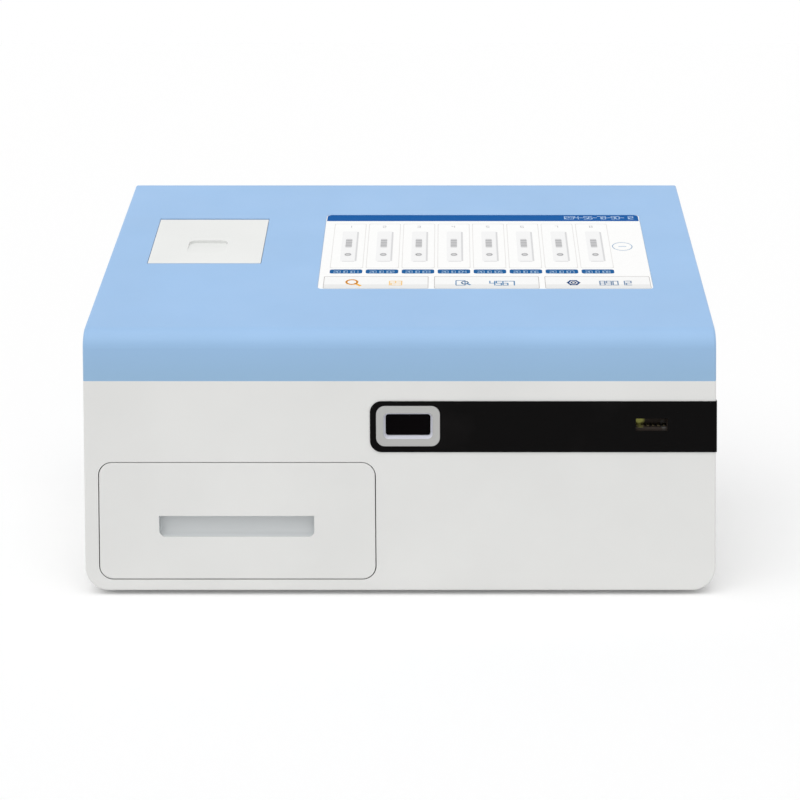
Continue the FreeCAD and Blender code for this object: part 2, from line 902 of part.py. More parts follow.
def display_boss_places():
    for x in (SCREEN_X[0] - S.display_boss_offset, SCREEN_X[1] + S.display_boss_offset):
        for along in (S.screen_bottom + S.display_boss_inset, S.screen_top - S.display_boss_inset):
            yield x, along


LID_PIN_ALONG = S.lid_top - S.lid_thickness / 2
LID_PIN_NORMAL = -S.lid_thickness / 2


def lid_pin_span():
    return LID_X[0] - S.lid_pin_reach, LID_X[1] + S.lid_pin_reach


def top_cover(outer, inner):
    shell = common(cut(outer, inner), seam_slab(Size("0"), S.body_width))
    ring = cut(case_hull(S.wall / 2 + S.fit_gap), case_hull(S.wall))
    tongue = common(ring, seam_slab(-S.tongue_height, S.wall))
    additions = [tongue]
    seam_back = SEAM_LEVEL + S.body_depth * tangent(S.top_slope)
    for x, z in cover_screw_places():
        xs = (x - S.panel_lip, x + S.panel_lip)
        front_face = BACK - S.wall - S.screw_length
        lower_y = (front_face, BACK - S.wall - S.fit_gap)
        lower = block(xs, lower_y, (z - S.panel_lip, seam_back + S.wall * 2))
        upper = block(xs, (front_face, BACK - S.wall / 2), (seam_back + S.wall / 2, seam_back + S.wall * 2))
        additions.extend([lower, upper])
    for x, along in display_boss_places():
        additions.append(slope_disc(x, along, (LCD_BACK, -S.wall / 2), S.display_boss_radius))
    for side in (-1, 1):
        edge = LID_X[0] - S.lid_gap if side < 0 else LID_X[1] + S.lid_gap
        far = edge + S.lid_boss_length * side
        xs = (far, edge) if side < 0 else (edge, far)
        alongs = (LID_PIN_ALONG - S.lid_boss_length, LID_PIN_ALONG + S.lid_boss_length)
        additions.append(slope_block(xs, alongs, (-S.wall - S.lid_boss_depth, -S.wall / 2)))
    deep = -S.wall - S.lcd_thickness * 2
    cuts = [slope_pad(lid_outline(S.lid_gap), (deep, S.overrun))]
    cuts.append(slope_pad(screen_outline(S.fit_gap), (deep, S.overrun)))
    pin_hole = S.lid_pin_radius + S.running_gap / 2
    cuts.append(slope_rod_x(lid_pin_span(), LID_PIN_ALONG, LID_PIN_NORMAL, pin_hole))
    for x, along in display_boss_places():
        cuts.append(slope_screw_hole(x, along, BRACKET_BACK))
    for x, z in cover_screw_places():
        cuts.append(screw_hole(x, BACK, z, "back"))
    sub_part("top_cover", cut(fuse(shell, *additions), *cuts))


def rear_panel():
    xs = (PANEL_X[0] + S.fit_gap, PANEL_X[1] - S.fit_gap)
    zs = (S.panel_bottom + S.fit_gap, S.panel_top - S.fit_gap)
    ys = (BACK - S.panel_thickness, BACK)
    through = (BACK - S.panel_thickness - S.overrun, BACK + S.overrun)
    plate = pad("XZ", rectangle(xs, zs, S.panel_corner - S.fit_gap), ys)
    cuts = [screw_hole(x, BACK, z, "back") for x, z in panel_screw_places()]
    for index in range(SIZES["grille_count"]):
        offset = S.grille_pitch * (index - (SIZES["grille_count"] - 1) / 2)
        reach = root(S.fan_bore * S.fan_bore - offset * offset) - S.grille_slot / 2
        x = FAN_X + offset
        slot_x = (x - S.grille_slot / 2, x + S.grille_slot / 2)
        slot_z = (REAR_LEVEL - reach, REAR_LEVEL + reach)
        cuts.append(pad("XZ", rectangle(slot_x, slot_z, S.grille_slot * 0.4), through))
    for x, z in fan_screw_places():
        cuts.append(screw_hole(x, BACK, z, "back"))
    for x in socket_screw_places():
        cuts.append(screw_hole(x, BACK, REAR_LEVEL, "back"))
    for body_x, body_z in (socket_body_ranges(S.fit_gap), switch_body_ranges(S.fit_gap)):
        cuts.append(block(body_x, through, body_z))
    bank_x, bank_z = port_bank_ranges(S.fit_gap)
    cuts.append(block(bank_x, through, bank_z))
    sub_part("rear_panel", cut(plate, *cuts))


def fan_screw_places():
    for x in (FAN_X - S.fan_screw_pitch / 2, FAN_X + S.fan_screw_pitch / 2):
        for z in (REAR_LEVEL - S.fan_screw_pitch / 2, REAR_LEVEL + S.fan_screw_pitch / 2):
            yield x, z


def socket_screw_places():
    return SOCKET_X - S.socket_screw_pitch / 2, SOCKET_X + S.socket_screw_pitch / 2


def socket_body_ranges(gap):
    xs = centred(SOCKET_X, S.socket_body_width + gap * 2)
    return xs, centred(REAR_LEVEL, S.socket_body_height + gap * 2)


def switch_body_ranges(gap):
    xs = centred(SWITCH_X, S.switch_width - S.switch_rim * 2 + gap * 2)
    return xs, centred(REAR_LEVEL, S.switch_height - S.switch_rim * 2 + gap * 2)


def port_bank_ranges(grow):
    """X and Z ranges of the moulded bank on the port board that holds all the connectors."""
    places = list(port_ranges())
    edge = S.port_bank_wall + grow
    low = PORTS_LEVEL + S.board_thickness
    high = low + larger(S.lan_height, S.serial_height)
    return (places[0][0][0] - edge, places[-1][0][1] + edge), (low - grow, high + edge)


def port_ranges():
    """X and Z ranges of the connectors on the port board, left to right."""
    low = PORTS_LEVEL + S.board_thickness
    x = PORTS_LEFT + S.port_gap
    for width, height in port_sizes():
        yield (x, x + width), (low, low + height)
        x = x + width + S.port_gap


def port_sizes():
    return (
        (S.usb_width, S.usb_height),
        (S.usb_width, S.usb_height),
        (S.lan_width, S.lan_height),
        (S.serial_width, S.serial_height),
    )


def case_screws():
    screws = [screw(x, BACK, z, "back") for x, z in panel_screw_places()]
    screws += [screw(x, BACK, z, "back") for x, z in cover_screw_places()]
    screws += [screw(x, BACK, z, "back") for x, z in fan_screw_places()]
    screws += [slope_screw(x, along, BRACKET_BACK) for x, along in display_boss_places()]
    sub_part("case_screws", group(screws))


def rubber_feet():
    zs = (Size("0"), S.foot_height + S.foot_recess)
    sub_part("rubber_feet", group([disc(x, y, zs, S.foot_radius) for x, y in foot_places()]))


# Front band, card inlet and chip socket

def band_groove():
    """The space outside the band's floor, as far as the band goes round the case."""
    return cut(band_region(Size("0")), case_hull(BAND_INSET))


def front_band():
    strip = common(band_groove(), case_hull(-S.band_proud, S.edge_round))
    through = (FRONT - S.overrun * 2, FRONT + S.wall)
    bezel = inlet_outline(S.bezel_width + S.fit_gap * 2, S.bezel_height + S.fit_gap * 2, S.bezel_corner)
    openings = [pad("XZ", bezel, through), pad("XZ", chip_outline(Size("0")), through)]
    sub_part("front_band", cut(strip, *openings))


def inlet_bezel():
    rim = inlet_outline(S.bezel_width, S.bezel_height, S.bezel_corner)
    rim_pad = pad("XZ", rim, (FRONT - S.bezel_proud, FRONT + BAND_INSET))
    back_face = FRONT + S.sleeve_depth
    sleeve = pad("XZ", sleeve_outline(Size("0")), (FRONT, back_face))
    ears = []
    holes = []
    for side in (-1, 1):
        near = S.inlet_centre + (flap_half_width() + S.moving_gap) * side
        far = near + S.flap_ear * side
        xs = (far, near) if side < 0 else (near, far)
        ys = (back_face - S.overrun, FLAP_PIN_Y + S.flap_knuckle + S.moving_gap)
        ears.append(block(xs, ys, (FLAP_PIN_Z - S.flap_knuckle, FLAP_PIN_Z + S.flap_knuckle)))
        hole_x = (xs[0] - S.overrun, xs[1] + S.overrun)
        holes.append(rod_x(hole_x, FLAP_PIN_Y, FLAP_PIN_Z, S.flap_pin_radius + S.running_gap / 2))
    mouth = inlet_outline(S.inlet_width, S.inlet_height, S.inlet_corner)
    hole = pad("XZ", mouth, (FRONT - S.overrun * 2, back_face + S.overrun))
    funnel_run = S.funnel_depth + S.bezel_proud
    spread = (S.bezel_width - S.inlet_width) / 2 - S.bezel_rim
    taper = arc_tangent(spread / funnel_run)
    funnel = pad("XZ", mouth, (FRONT - S.bezel_proud, FRONT + S.funnel_depth), taper)
    sub_part("inlet_bezel", cut(fuse(rim_pad, sleeve, *ears), hole, funnel, *holes))


FLAP_PIN_Y = FRONT + S.sleeve_depth + S.moving_gap + S.flap_knuckle
FLAP_PIN_Z = INLET_LEVEL + S.inlet_height / 2 + S.flap_knuckle + S.moving_gap


def flap_half_width():
    return S.inlet_width / 2 + S.flap_overlap


def inlet_flap():
    xs = centred(S.inlet_centre, flap_half_width() * 2)
    front_face = FRONT + S.sleeve_depth + S.moving_gap
    leaf = block(xs, (front_face, front_face + S.flap_thickness), (CARD_LEVEL + S.moving_gap, FLAP_PIN_Z))
    knuckle = rod_x(xs, FLAP_PIN_Y, FLAP_PIN_Z, S.flap_knuckle)
    bore_x = (xs[0] - S.overrun, xs[1] + S.overrun)
    bore = rod_x(bore_x, FLAP_PIN_Y, FLAP_PIN_Z, S.flap_pin_radius + S.running_gap)
    sub_part("inlet_flap", cut(fuse(leaf, knuckle), bore))


def flap_pin():
    reach = flap_half_width() + S.moving_gap + S.flap_ear
    xs = centred(S.inlet_centre, reach * 2)
    sub_part("flap_pin", rod_x(xs, FLAP_PIN_Y, FLAP_PIN_Z, S.flap_pin_radius))


def card_guide():
    half = flap_half_width() + S.moving_gap * 2
    xs = centred(S.inlet_centre, (half + S.guide_cheek) * 2)
    front_face = FRONT + S.sleeve_depth + S.moving_gap * 2 + S.flap_thickness + S.overrun
    back_face = CAROUSEL_Y - CAROUSEL_RADIUS - S.plate_overhang - S.fit_gap * 2
    ys = (front_face, back_face)
    tray = block(xs, ys, (DECK_TOP, CARD_LEVEL))
    left = block((xs[0], xs[0] + S.guide_cheek), ys, (DECK_TOP, CARD_LEVEL + S.guide_cheek_height))
    right = block((xs[1] - S.guide_cheek, xs[1]), ys, (DECK_TOP, CARD_LEVEL + S.guide_cheek_height))
    sub_part("card_guide", fuse(tray, left, right))


def chip_socket():
    """A socket behind the band's window, with a ledge along its floor that carries the contacts."""
    ys = (FRONT + BAND_INSET, FRONT + BAND_INSET + S.chip_depth)
    body = pad("XZ", chip_outline(S.chip_wall), ys)
    hollow = pad("XZ", chip_outline(Size("0")), (ys[0] - S.overrun, ys[1] - S.chip_wall))
    ledge_z = (CHIP_LEVEL - S.chip_height / 2 - S.fit_gap, chip_ledge_top())
    xs = centred(CHIP_CENTRE, S.chip_width + S.fit_gap)
    ledge = block(xs, (ys[0] + S.chip_wall * 2, ys[1] - S.chip_wall / 2), ledge_z)
    sub_part("chip_socket", fuse(cut(body, hollow), ledge))


def chip_ledge_top():
    return CHIP_LEVEL - S.chip_height / 2 + S.chip_wall


def chip_contacts():
    pitch = S.chip_width / SIZES["chip_contact_count"]
    back_face = FRONT + BAND_INSET + S.chip_depth - S.chip_wall
    contacts = []
    for index in range(SIZES["chip_contact_count"]):
        x = CHIP_CENTRE - S.chip_width / 2 + pitch * (index + 0.5)
        ys = (back_face - S.chip_contact_length, back_face)
        zs = (chip_ledge_top(), chip_ledge_top() + S.chip_contact_thickness)
        contacts.append(block(centred(x, S.chip_contact_width), ys, zs))
    sub_part("chip_contacts", group(contacts))


# Waste drawer

BIN_LEFT = DRAWER_X[0] + S.bin_side_gap
BIN_RIGHT = DRAWER_X[1] - S.bin_side_gap
BIN_FRONT = FRONT + S.drawer_front_thickness
BIN_BACK = BACK - S.bin_back_gap
BIN_TRAVEL = BIN_BACK - BIN_FRONT - S.bin_hold


def drawer_screw_places():
    inset = S.bin_corner + S.screw_head_radius
    for x in (BIN_LEFT + inset, BIN_RIGHT - inset):
        for z in (S.bin_floor_level + inset, BIN_RIM - inset):
            yield x, z


def cup_ranges(grow):
    """The finger cup behind the slot. It rises past the slot's top edge so that fingers can hook."""
    xs = (SLOT_X[0] - grow, SLOT_X[1] + grow)
    zs = (SLOT_Z[0] - grow, SLOT_Z[1] + S.slot_hook + grow)
    return xs, zs


def drawer_front():
    """The front with its finger slot, whose floor rises a little and bends up into the back."""
    face = pad("XZ", drawer_outline(Size("0")), (FRONT, BIN_FRONT))
    round_edges(face, S.drawer_edge_round, faces_front)
    xs, zs = cup_ranges(S.slot_wall)
    cup_y = (BIN_FRONT - S.overrun, FRONT + S.slot_depth + S.slot_wall)
    cup = pad("XZ", rectangle(xs, zs, S.slot_corner), cup_y)
    mouth = [
        (SLOT_X[0], SLOT_Z[0], S.slot_corner),
        (SLOT_X[1], SLOT_Z[0], S.slot_corner),
        (SLOT_X[1], SLOT_Z[1], None),
        (SLOT_X[0], SLOT_Z[1], None),
    ]
    hollow_x, hollow_z = cup_ranges(Size("0"))
    slope = S.slot_rise / S.slot_depth
    scoop = [
        (FRONT - S.overrun, SLOT_Z[0] - S.overrun * slope, None),
        (FRONT + S.slot_depth, SLOT_Z[0] + S.slot_rise, S.slot_corner),
        (FRONT + S.slot_depth, hollow_z[1], S.slot_wall),
        (FRONT - S.overrun, hollow_z[1], None),
    ]
    behind = block(hollow_x, (FRONT + S.slot_wall, FRONT + S.slot_depth), hollow_z)
    through = pad("XZ", mouth, (FRONT - S.overrun, FRONT + S.slot_wall + S.overrun))
    hollow = common(fuse(behind, through), pad("YZ", scoop, hollow_x))
    holes = []
    for x, z in drawer_screw_places():
        holes.append(rod_y(x, (BIN_FRONT - S.drawer_front_thickness * 0.75, BIN_FRONT + S.overrun), z,
                           S.screw_shank_radius + S.running_gap))
    sub_part("drawer_front", cut(fuse(face, cup), hollow, *holes))


def waste_bin():
    corners = rectangle((BIN_LEFT, BIN_RIGHT), (BIN_FRONT, BIN_BACK), S.bin_corner)
    outer = pad("XY", corners, (S.bin_floor_level, BIN_RIM))
    inner_x = (BIN_LEFT + S.bin_wall, BIN_RIGHT - S.bin_wall)
    inner_y = (BIN_FRONT + S.bin_wall, BIN_BACK - S.bin_wall)
    inner_bend = larger(S.bin_corner - S.bin_wall, S.edge_round)
    inner_z = (S.bin_floor_level + S.bin_wall, BIN_RIM + S.overrun)
    inner = pad("XY", rectangle(inner_x, inner_y, inner_bend), inner_z)
    cup_x, cup_z = cup_ranges(S.slot_wall + S.fit_gap * 2)
    window = block(cup_x, (BIN_FRONT - S.overrun, BIN_FRONT + S.bin_wall + S.overrun), cup_z)
    holes = []
    for x, z in drawer_screw_places():
        ys = (BIN_FRONT - S.overrun, BIN_FRONT + S.bin_wall + S.overrun)
        holes.append(rod_y(x, ys, z, S.screw_shank_radius + S.running_gap))
    stop_y = FRONT + S.wall + BIN_TRAVEL + S.stop_gap
    stop_z = (BIN_RIM - S.bin_wall, DECK_LEVEL - S.stop_gap)
    stop = block((BIN_LEFT, BIN_LEFT + S.stop_width), (stop_y, stop_y + S.stop_length), stop_z)
    sub_part("waste_bin", cut(fuse(cut(outer, inner), stop), window, *holes))


def drawer_screws():
    seat = BIN_FRONT + S.bin_wall
    length = S.bin_wall + S.drawer_front_thickness * 0.6
    sub_part("drawer_screws", group([screw(x, seat, z, "back", length) for x, z in drawer_screw_places()]))


def drawer_runners():
    """An L rail each side. Its foot carries the bin's floor and its leg guides the bin's side."""
    ys = (FRONT + S.wall + S.drawer_gap, BIN_BACK)
    foot_top = S.bin_floor_level - S.moving_gap / 2
    rails = []
    for side, wall_x in ((-1, BIN_LEFT), (1, BIN_RIGHT)):
        face = wall_x + S.moving_gap * side
        outside = face + S.runner_thickness * side
        stepped = face - S.runner_step * side
        inside = face - S.runner_foot * side
        leg_x = (outside, face) if side < 0 else (face, outside)
        web_x = (face, inside) if side < 0 else (inside, face)
        foot_x = (stepped, inside) if side < 0 else (inside, stepped)
        leg = block(leg_x, ys, (FLOOR + S.runner_step, S.runner_height))
        web = block(web_x, ys, (FLOOR + S.runner_step, foot_top))
        foot = block(foot_x, ys, (FLOOR, foot_top))
        rails.append(fuse(leg, web, foot))
    sub_part("drawer_runners", group(rails))


def magnet_ranges():
    return centred((BIN_LEFT + BIN_RIGHT) / 2, S.magnet_width)


def strike_plate():
    zs = (S.runner_height - S.magnet_height, S.runner_height)
    ys = (BIN_BACK, BIN_BACK + S.strike_thickness)
    sub_part("strike_plate", block(magnet_ranges(), ys, zs))


def drawer_magnet():
    """A magnet on a foot that stands on the case floor, just behind the strike plate."""
    front_face = BIN_BACK + S.strike_thickness + S.moving_gap
    xs = magnet_ranges()
    magnet = block(xs, (front_face, front_face + S.magnet_thickness), (FLOOR, S.runner_height))
    foot = block(xs, (front_face, front_face + S.magnet_thickness * 2), (FLOOR, FLOOR + S.bin_wall))
    sub_part("drawer_magnet", fuse(magnet, foot))


# Deck

DROP_LEFT = S.inlet_centre - CAROUSEL_RADIUS - S.drop_margin
DROP_RIGHT = S.inlet_centre - S.lane_start + S.fit_gap * 2
DROP_Y = centred(CAROUSEL_Y, S.lane_width + S.drop_margin * 2)
MOTOR_X = S.inlet_centre + S.belt_centres


def motor_screw_places():
    for x in centred(MOTOR_X, S.motor_screw_pitch):
        for y in centred(CAROUSEL_Y, S.motor_screw_pitch):
            yield x, y


def bridge_leg_offset():
    """Distance in Y from the carousel's axis to the inner face of a bridge leg."""
    inner_x = bridge_leg_x()[0] - S.inlet_centre
    chord = root(CAROUSEL_RADIUS * CAROUSEL_RADIUS - inner_x * inner_x)
    return chord + S.bridge_clearance


def bridge_leg_x():
    right = bridge_x()[1] - (S.bridge_width - S.bridge_leg_width) / 4
    return right - S.bridge_leg_width, right


def bridge_x():
    middle = S.inlet_centre + S.scan_inner + S.scan_travel / 2
    return centred(middle, S.bridge_width)


def bridge_screw_places():
    left, right = bridge_leg_x()
    reach = bridge_leg_offset() + S.bridge_thickness + S.bridge_foot / 2
    for x in (left + S.bridge_foot, right - S.bridge_foot):
        yield x, CAROUSEL_Y - reach
        yield x, CAROUSEL_Y + bridge_leg_offset() - S.bridge_foot / 2


def ledge_screw_places():
    x = half_width(DECK_LEVEL) - S.wall - S.ledge_width / 2 - S.deck_margin
    for side in (-x, x):
        for y in (FRONT + S.ledge_margin * 3, BACK - S.ledge_margin * 3):
            yield side, y


def deck_plate():
    half = half_width(DECK_LEVEL) - S.wall - S.deck_margin
    ys = (FRONT + S.wall + S.deck_margin, BACK - S.wall - S.deck_margin)
    sheet_metal = block((-half, half), ys, (DECK_LEVEL, DECK_TOP))
    collar_x = (DROP_LEFT - S.collar_wall, DROP_RIGHT + S.collar_wall)
    collar_y = (DROP_Y[0] - S.collar_wall, DROP_Y[1] + S.collar_wall)
    collar = block(collar_x, collar_y, (DECK_LEVEL - S.collar_drop, DECK_TOP))
    low = DECK_LEVEL - S.collar_drop - S.overrun
    cuts = [block((DROP_LEFT, DROP_RIGHT), DROP_Y, (low, DECK_TOP + S.overrun))]
    through = (DECK_LEVEL - S.overrun, DECK_TOP + S.overrun)
    cuts.append(disc(S.inlet_centre, CAROUSEL_Y, through, S.bearing_radius + S.fit_gap / 5))
    cuts.append(disc(MOTOR_X, CAROUSEL_Y, through, S.motor_boss_radius + S.fit_gap))
    for x, y in (*motor_screw_places(), *bridge_screw_places(), *ledge_screw_places(), *post_places()):
        cuts.append(screw_hole(x, y, DECK_TOP))
    sub_part("deck_plate", cut(fuse(sheet_metal, collar), *cuts))


def deck_posts():
    posts = []
    for x, y in post_places():
        post = disc(x, y, (FLOOR, DECK_LEVEL), S.post_radius)
        posts.append(cut(post, screw_hole(x, y, DECK_TOP), screw_hole(x, y, S.foot_height, "down")))
    sub_part("deck_posts", group(posts))


def deck_screws():
    screws = [screw(x, y, DECK_TOP) for x, y in motor_screw_places()]
    screws += [screw(x, y, DECK_TOP) for x, y in ledge_screw_places()]
    screws += [screw(x, y, DECK_TOP) for x, y in post_places()]
    screws += [screw(x, y, DECK_TOP + S.bridge_thickness) for x, y in bridge_screw_places()]
    screws += [screw(x, y, S.foot_height, "down") for x, y in post_places()]
    screws += [screw(x, y, S.board_level + S.board_thickness) for x, y in board_post_places()]
    sub_part("deck_screws", group(screws))


# Carousel, its warm plate and its belt drive

def around_carousel(angle, circle):
    return S.inlet_centre + circle * cosine(angle), CAROUSEL_Y + circle * sine(angle)


def spacer_places():
    for angle in (S.spacer_angle, -S.spacer_angle + 180, S.spacer_angle + 180, -S.spacer_angle):
        yield around_carousel(angle, CAROUSEL_RADIUS - S.spacer_inset)


def incubator_plate():
    radius = CAROUSEL_RADIUS + S.plate_overhang
    plate = disc(S.inlet_centre, CAROUSEL_Y, (PLATE_BOTTOM, CARD_LEVEL), radius)
    through = (PLATE_BOTTOM - S.overrun, CARD_LEVEL + S.overrun)
    bore = disc(S.inlet_centre, CAROUSEL_Y, through, S.bearing_radius + S.fit_gap / 5)
    drop = block((S.inlet_centre - radius - S.overrun, DROP_RIGHT), DROP_Y, through)
    sub_part("incubator_plate", cut(plate, bore, drop))


def plate_spacers():
    spacers = [disc(x, y, (DECK_TOP, PLATE_BOTTOM), S.spacer_radius) for x, y in spacer_places()]
    sub_part("plate_spacers", group(spacers))


def turned(thing, angle):
    """Turns a thing, drawn about the carousel's axis, by an angle in degrees."""
    thing.Placement = Placement(Vector(), Rotation(Vector(0, 0, 1), angle))
    thing.setExpression("Placement.Base.x", text_of(S.inlet_centre))
    thing.setExpression("Placement.Base.y", text_of(CAROUSEL_Y))
    return thing


def carousel():
    wheel = disc(S.inlet_centre, CAROUSEL_Y, (CAROUSEL_BOTTOM, CAROUSEL_TOP), CAROUSEL_RADIUS)
    keeper_top = CAROUSEL_TOP + S.keeper_thickness
    keeper = disc(S.inlet_centre, CAROUSEL_Y, (CAROUSEL_TOP, keeper_top), S.keeper_radius)
    hub = disc(S.inlet_centre, CAROUSEL_Y, (CAROUSEL_TOP, keeper_top + S.hub_height), S.hub_radius)
    bottom = CAROUSEL_BOTTOM - S.overrun
    lanes = []
    for index in range(SIZES["lane_count"]):
        angle = 360 / SIZES["lane_count"] * index
        span = (S.lane_start, CAROUSEL_RADIUS + S.overrun)
        lane = block(span, centred(Size("0"), S.lane_width), (bottom, CAROUSEL_TOP))
        notch = block((S.keeper_radius - S.keeper_notch, span[1]), centred(Size("0"), S.lane_width / 2),
                      (CAROUSEL_TOP, keeper_top + S.overrun))
        lanes.append(turned(group([lane, notch]), angle))
    bore = disc(S.inlet_centre, CAROUSEL_Y, (bottom, keeper_top + S.hub_height + S.overrun), S.shaft_radius)
    sub_part("carousel", cut(fuse(wheel, keeper, hub), *lanes, bore))


def carousel_shaft():
    zs = (DECK_LEVEL - S.shaft_radius, CAROUSEL_TOP + S.keeper_thickness + S.hub_height)
    sub_part("carousel_shaft", disc(S.inlet_centre, CAROUSEL_Y, zs, S.shaft_radius))


def shaft_bearings():
    """A flanged bush in the deck and one in the warm plate."""
    bushes = []
    deck_bush = (DECK_LEVEL, DECK_TOP, DECK_TOP)
    plate_bush = (PLATE_BOTTOM, CARD_LEVEL, PLATE_BOTTOM - S.bearing_flange)
    for low, high, flange_low in (deck_bush, plate_bush):
        ring = disc(S.inlet_centre, CAROUSEL_Y, (low, high), S.bearing_radius)
        flange_radius = S.bearing_radius + S.bearing_flange
        flange_z = (flange_low, flange_low + S.bearing_flange)
        flange = disc(S.inlet_centre, CAROUSEL_Y, flange_z, flange_radius)
        bore_z = (low - S.bearing_flange - S.overrun, high + S.bearing_flange + S.overrun)
        bore = disc(S.inlet_centre, CAROUSEL_Y, bore_z, S.shaft_radius + S.running_gap)
        bushes.append(cut(fuse(ring, flange), bore))
    sub_part("shaft_bearings", group(bushes))


PULLEY_BOTTOM = (DECK_TOP + PLATE_BOTTOM - S.pulley_width) / 2
PULLEY_TOP = PULLEY_BOTTOM + S.pulley_width


def pulley(x, radius, bore):
    """A flat pulley with a lip at each side of the belt."""
    side = (S.pulley_width - S.belt_width) / 2
    drum = disc(x, CAROUSEL_Y, (PULLEY_BOTTOM, PULLEY_TOP), radius)
    low = disc(x, CAROUSEL_Y, (PULLEY_BOTTOM, PULLEY_BOTTOM + side / 2), radius + S.pulley_lip)
    high = disc(x, CAROUSEL_Y, (PULLEY_TOP - side / 2, PULLEY_TOP), radius + S.pulley_lip)
    through = (PULLEY_BOTTOM - S.overrun, PULLEY_TOP + S.overrun)
    return cut(fuse(drum, low, high), disc(x, CAROUSEL_Y, through, bore))


def loop_solid(grow, zs):
    """The space inside a belt round both pulleys, out to a distance from their drums."""
    big = S.pulley_radius + grow
    small = S.pulley_radius / S.pulley_ratio + grow
    lean = arc_sine((big - small) / S.belt_centres)
    large_end = (S.inlet_centre, big)
    small_end = (MOTOR_X, small)
    corners = []
    for (x, radius), side in ((large_end, 1), (large_end, -1), (small_end, -1), (small_end, 1)):
        corners.append((x + radius * sine(lean), CAROUSEL_Y + radius * cosine(lean) * side, None))
    ends = [disc(x, CAROUSEL_Y, zs, radius) for x, radius in (large_end, small_end)]
    return fuse(*ends, pad("XY", corners, zs))


def belt_drive():
    sub_part("carousel_pulley", pulley(S.inlet_centre, S.pulley_radius, S.shaft_radius))
    small_bore = S.motor_shaft_radius + S.running_gap
    sub_part("motor_pulley", pulley(MOTOR_X, S.pulley_radius / S.pulley_ratio, small_bore))
    zs = centred((PULLEY_BOTTOM + PULLEY_TOP) / 2, S.belt_width - S.fit_gap * 2)
    through = (zs[0] - S.overrun, zs[1] + S.overrun)
    outer = loop_solid(S.moving_gap / 2 + S.belt_thickness, zs)
    sub_part("drive_belt", cut(outer, loop_solid(S.moving_gap / 2, through)))


def carousel_motor():
    xs = centred(MOTOR_X, S.motor_side)
    ys = centred(CAROUSEL_Y, S.motor_side)
    can = pad("XY", rectangle(xs, ys, S.motor_corner), (DECK_LEVEL - S.motor_length, DECK_LEVEL))
    boss = disc(MOTOR_X, CAROUSEL_Y, (DECK_LEVEL, DECK_LEVEL + S.motor_boss_height), S.motor_boss_radius)
    shaft = disc(MOTOR_X, CAROUSEL_Y, (DECK_LEVEL, PULLEY_TOP), S.motor_shaft_radius)
    holes = [screw_hole(x, y, DECK_TOP) for x, y in motor_screw_places()]
    sub_part("carousel_motor", cut(fuse(can, boss, shaft), *holes))


# Waste shutter

SHUTTER_TOP = PLATE_BOTTOM - S.moving_gap
SHUTTER_BOTTOM = SHUTTER_TOP - S.shutter_thickness
SHUTTER_X = (DROP_LEFT - S.shutter_overlap, DROP_RIGHT + S.shutter_overlap)
SHUTTER_Y = (DROP_Y[0] - S.shutter_overlap, DROP_Y[1] + S.shutter_overlap)
PLUNGER_X = (DROP_LEFT + DROP_RIGHT) / 2
PLUNGER_LEVEL = DECK_TOP + S.plunger_height


def waste_shutter():
    leaf = block(SHUTTER_X, SHUTTER_Y, (SHUTTER_BOTTOM, SHUTTER_TOP))
    tab_y = (SHUTTER_Y[0], SHUTTER_Y[0] + S.shutter_thickness)
    tab_z = (PLUNGER_LEVEL - S.plunger_radius, SHUTTER_BOTTOM + S.shutter_thickness / 2)
    tab = block(centred(PLUNGER_X, S.plunger_radius * 4), tab_y, tab_z)
    rod_span = (SHUTTER_Y[0] - S.plunger_length, SHUTTER_Y[0] + S.shutter_thickness / 2)
    plunger = rod_y(PLUNGER_X, rod_span, PLUNGER_LEVEL, S.plunger_radius)
    sub_part("waste_shutter", fuse(leaf, tab, plunger))


def shutter_guides():
    """Two channels on the deck that hold the shutter's edges over its travel."""
    ys = (SHUTTER_Y[0] - S.shutter_travel, SHUTTER_Y[1])
    guides = []
    for side, edge in ((-1, SHUTTER_X[0]), (1, SHUTTER_X[1])):
        inner = edge - (S.shutter_overlap - S.moving_gap) * side
        outer = inner + S.shutter_guide_width * side
        groove = edge + S.moving_gap * side
        body_x = (outer, inner) if side < 0 else (inner, outer)
        groove_x = (groove, inner + S.overrun) if side < 0 else (inner - S.overrun, groove)
        rail = block(body_x, ys, (DECK_TOP, PLATE_BOTTOM - S.fit_gap))
        slot_z = (SHUTTER_BOTTOM - S.fit_gap, SHUTTER_TOP + S.fit_gap)
        slot = block(groove_x, (ys[0] - S.overrun, ys[1] + S.overrun), slot_z)
        guides.append(cut(rail, slot))
    sub_part("shutter_guides", group(guides))


def gate_solenoid():
    back_face = SHUTTER_Y[0] - S.shutter_travel - S.solenoid_gap
    ys = (back_face - S.solenoid_length, back_face)
    top = PLUNGER_LEVEL * 2 - DECK_TOP
    coil = block(centred(PLUNGER_X, S.solenoid_width), ys, (DECK_TOP, top))
    through = (ys[0] - S.overrun, ys[1] + S.overrun)
    bore = rod_y(PLUNGER_X, through, PLUNGER_LEVEL, S.plunger_radius + S.running_gap)
    sub_part("gate_solenoid", cut(coil, bore))


# Optical head on its bridge

HEAD_X = S.inlet_centre + S.scan_inner
HEAD_BOTTOM = CAROUSEL_TOP + S.head_clearance
ROD_Z = HEAD_BOTTOM + S.head_height / 2
BRIDGE_LEVEL = HEAD_BOTTOM + S.head_height + S.bridge_gap


def rod_places():
    return centred(CAROUSEL_Y, S.rod_spacing)


